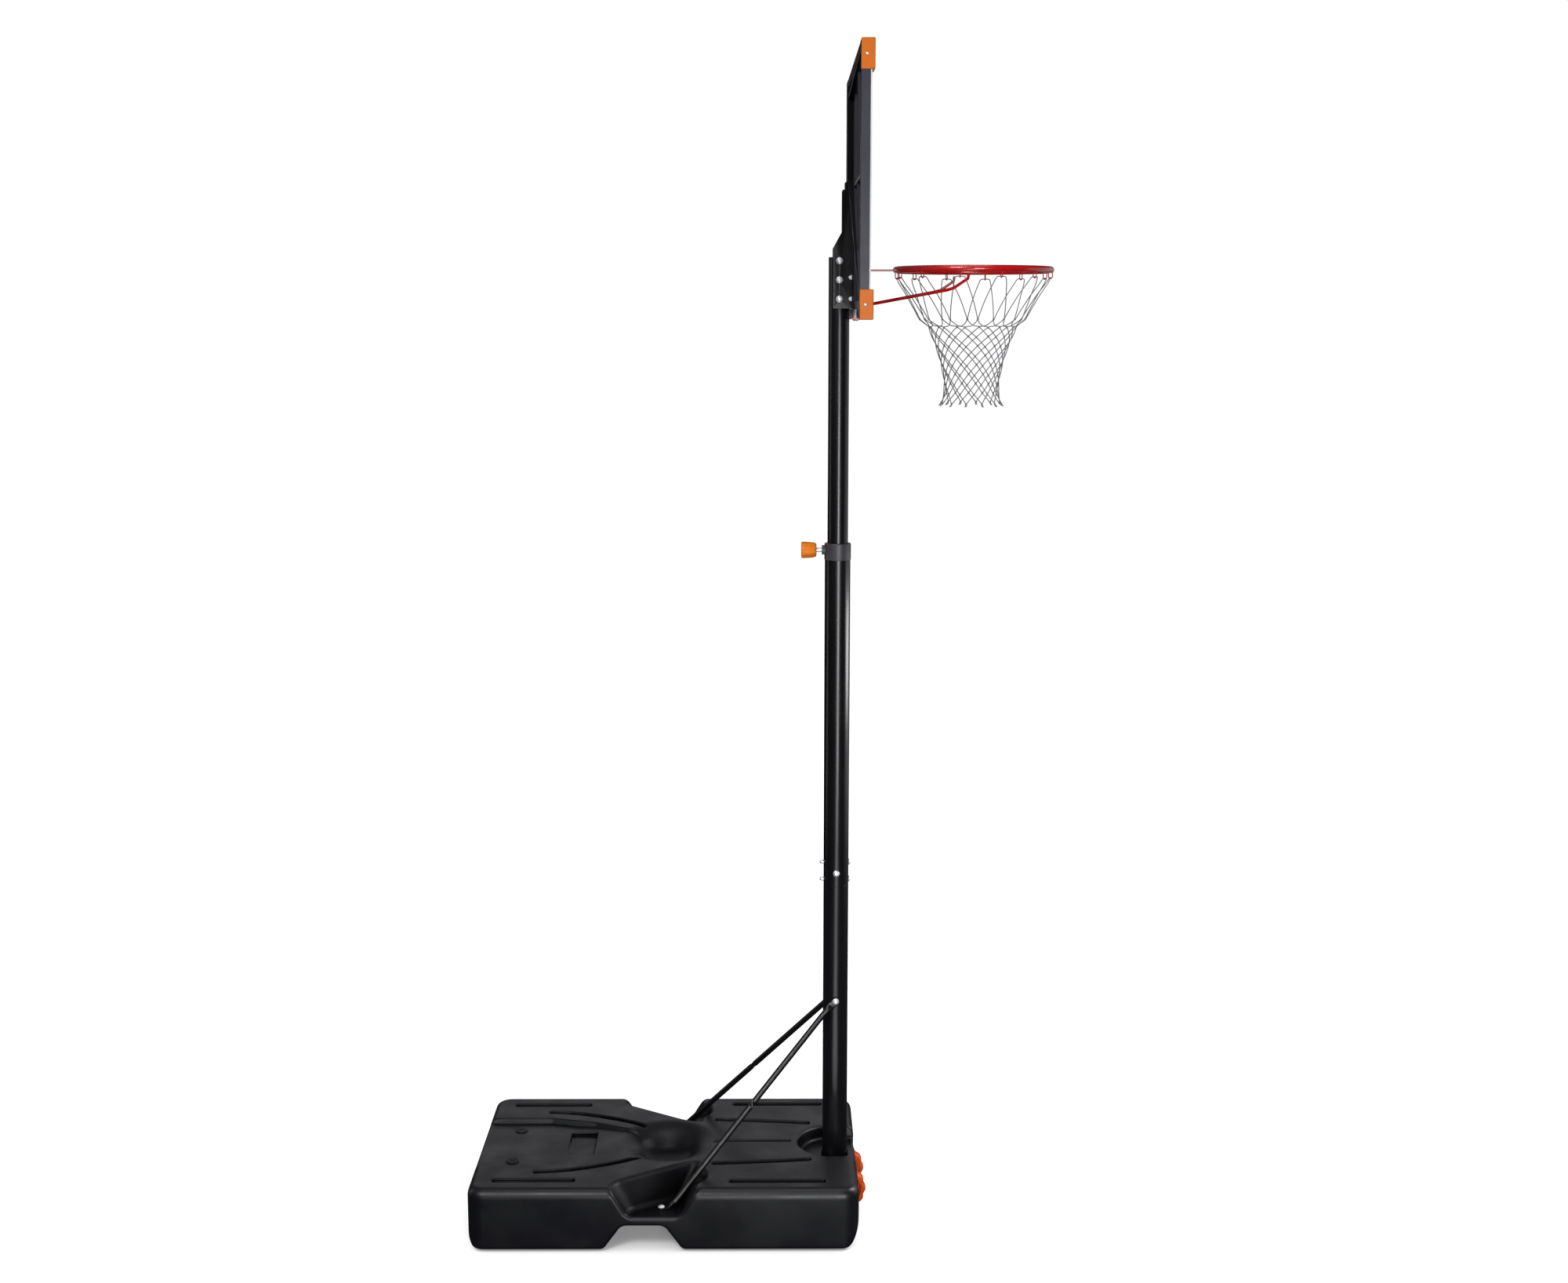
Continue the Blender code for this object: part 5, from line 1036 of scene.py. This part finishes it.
def area(name, place, aim, size, power, size_y=None):
    """A rectangular light that the camera doesn't see; size_y is its height where it isn't square."""
    light = bpy.data.lights.new(name, "AREA")
    light.shape = "RECTANGLE"
    light.size = size
    light.size_y = size_y or size
    light.energy = power
    obj = bpy.data.objects.new(name, light)
    obj.location = place
    obj.rotation_euler = (Vector(aim) - Vector(place)).to_track_quat("-Z", "Y").to_euler()
    obj.visible_camera = False
    bpy.context.scene.collection.objects.link(obj)


def build_camera():
    """The camera solved from the photograph."""
    data = bpy.data.cameras.new("camera")
    data.sensor_fit = "HORIZONTAL"
    data.sensor_width = 36.0
    data.lens = 45.56
    data.clip_end = 200
    camera = bpy.data.objects.new("camera", data)
    camera.location = (POLE_X - 0.2077, -6.22177, 2.89737)
    pitch, yaw, roll = 0.16220, 0.00623, 0.00096
    forward = Vector((math.sin(yaw) * math.cos(pitch), math.cos(yaw) * math.cos(pitch), -math.sin(pitch)))
    turn = forward.to_track_quat("-Z", "Y").to_matrix().to_4x4() @ Matrix.Rotation(roll, 4, "Z")
    camera.rotation_euler = turn.to_euler()
    bpy.context.scene.collection.objects.link(camera)
    bpy.context.scene.camera = camera


build_stage()
build_camera()
area("key", (-2.2, -5.2, 5.8), (0.1, 0, 1.2), 2.0, 215)
area("strip", (POLE_X + 0.75, -6.0, 1.4), (POLE_X, 0, 1.4), 1.5, 165, 3.0)
area("low_strip", (POLE_X - 0.05, -3.1, 0.01), (POLE_X - 0.05, -3.1, 3.0), 1.0, 30, 4.2)
area("side", (4.4, 1.6, 2.0), (POLE_X, 0, 1.9), 5.6, 50, 5.0)
area("back", (-4.2, 0.85, 2.2), (POLE_X, 0, 1.9), 0.6, 13, 4.0)
area("wall", (0.0, 6.5, 2.9), (0.0, 0, 0.4), 8.0, 34, 2.6)
area("top", (0.0, -0.3, 6.5), (0.0, 0, 0.0), 3.0, 50)
area("kick", (1.6, 0.25, 1.6), (0.36, -0.05, 0.08), 0.8, 18)
bpy.context.scene.view_settings.view_transform = "Standard"
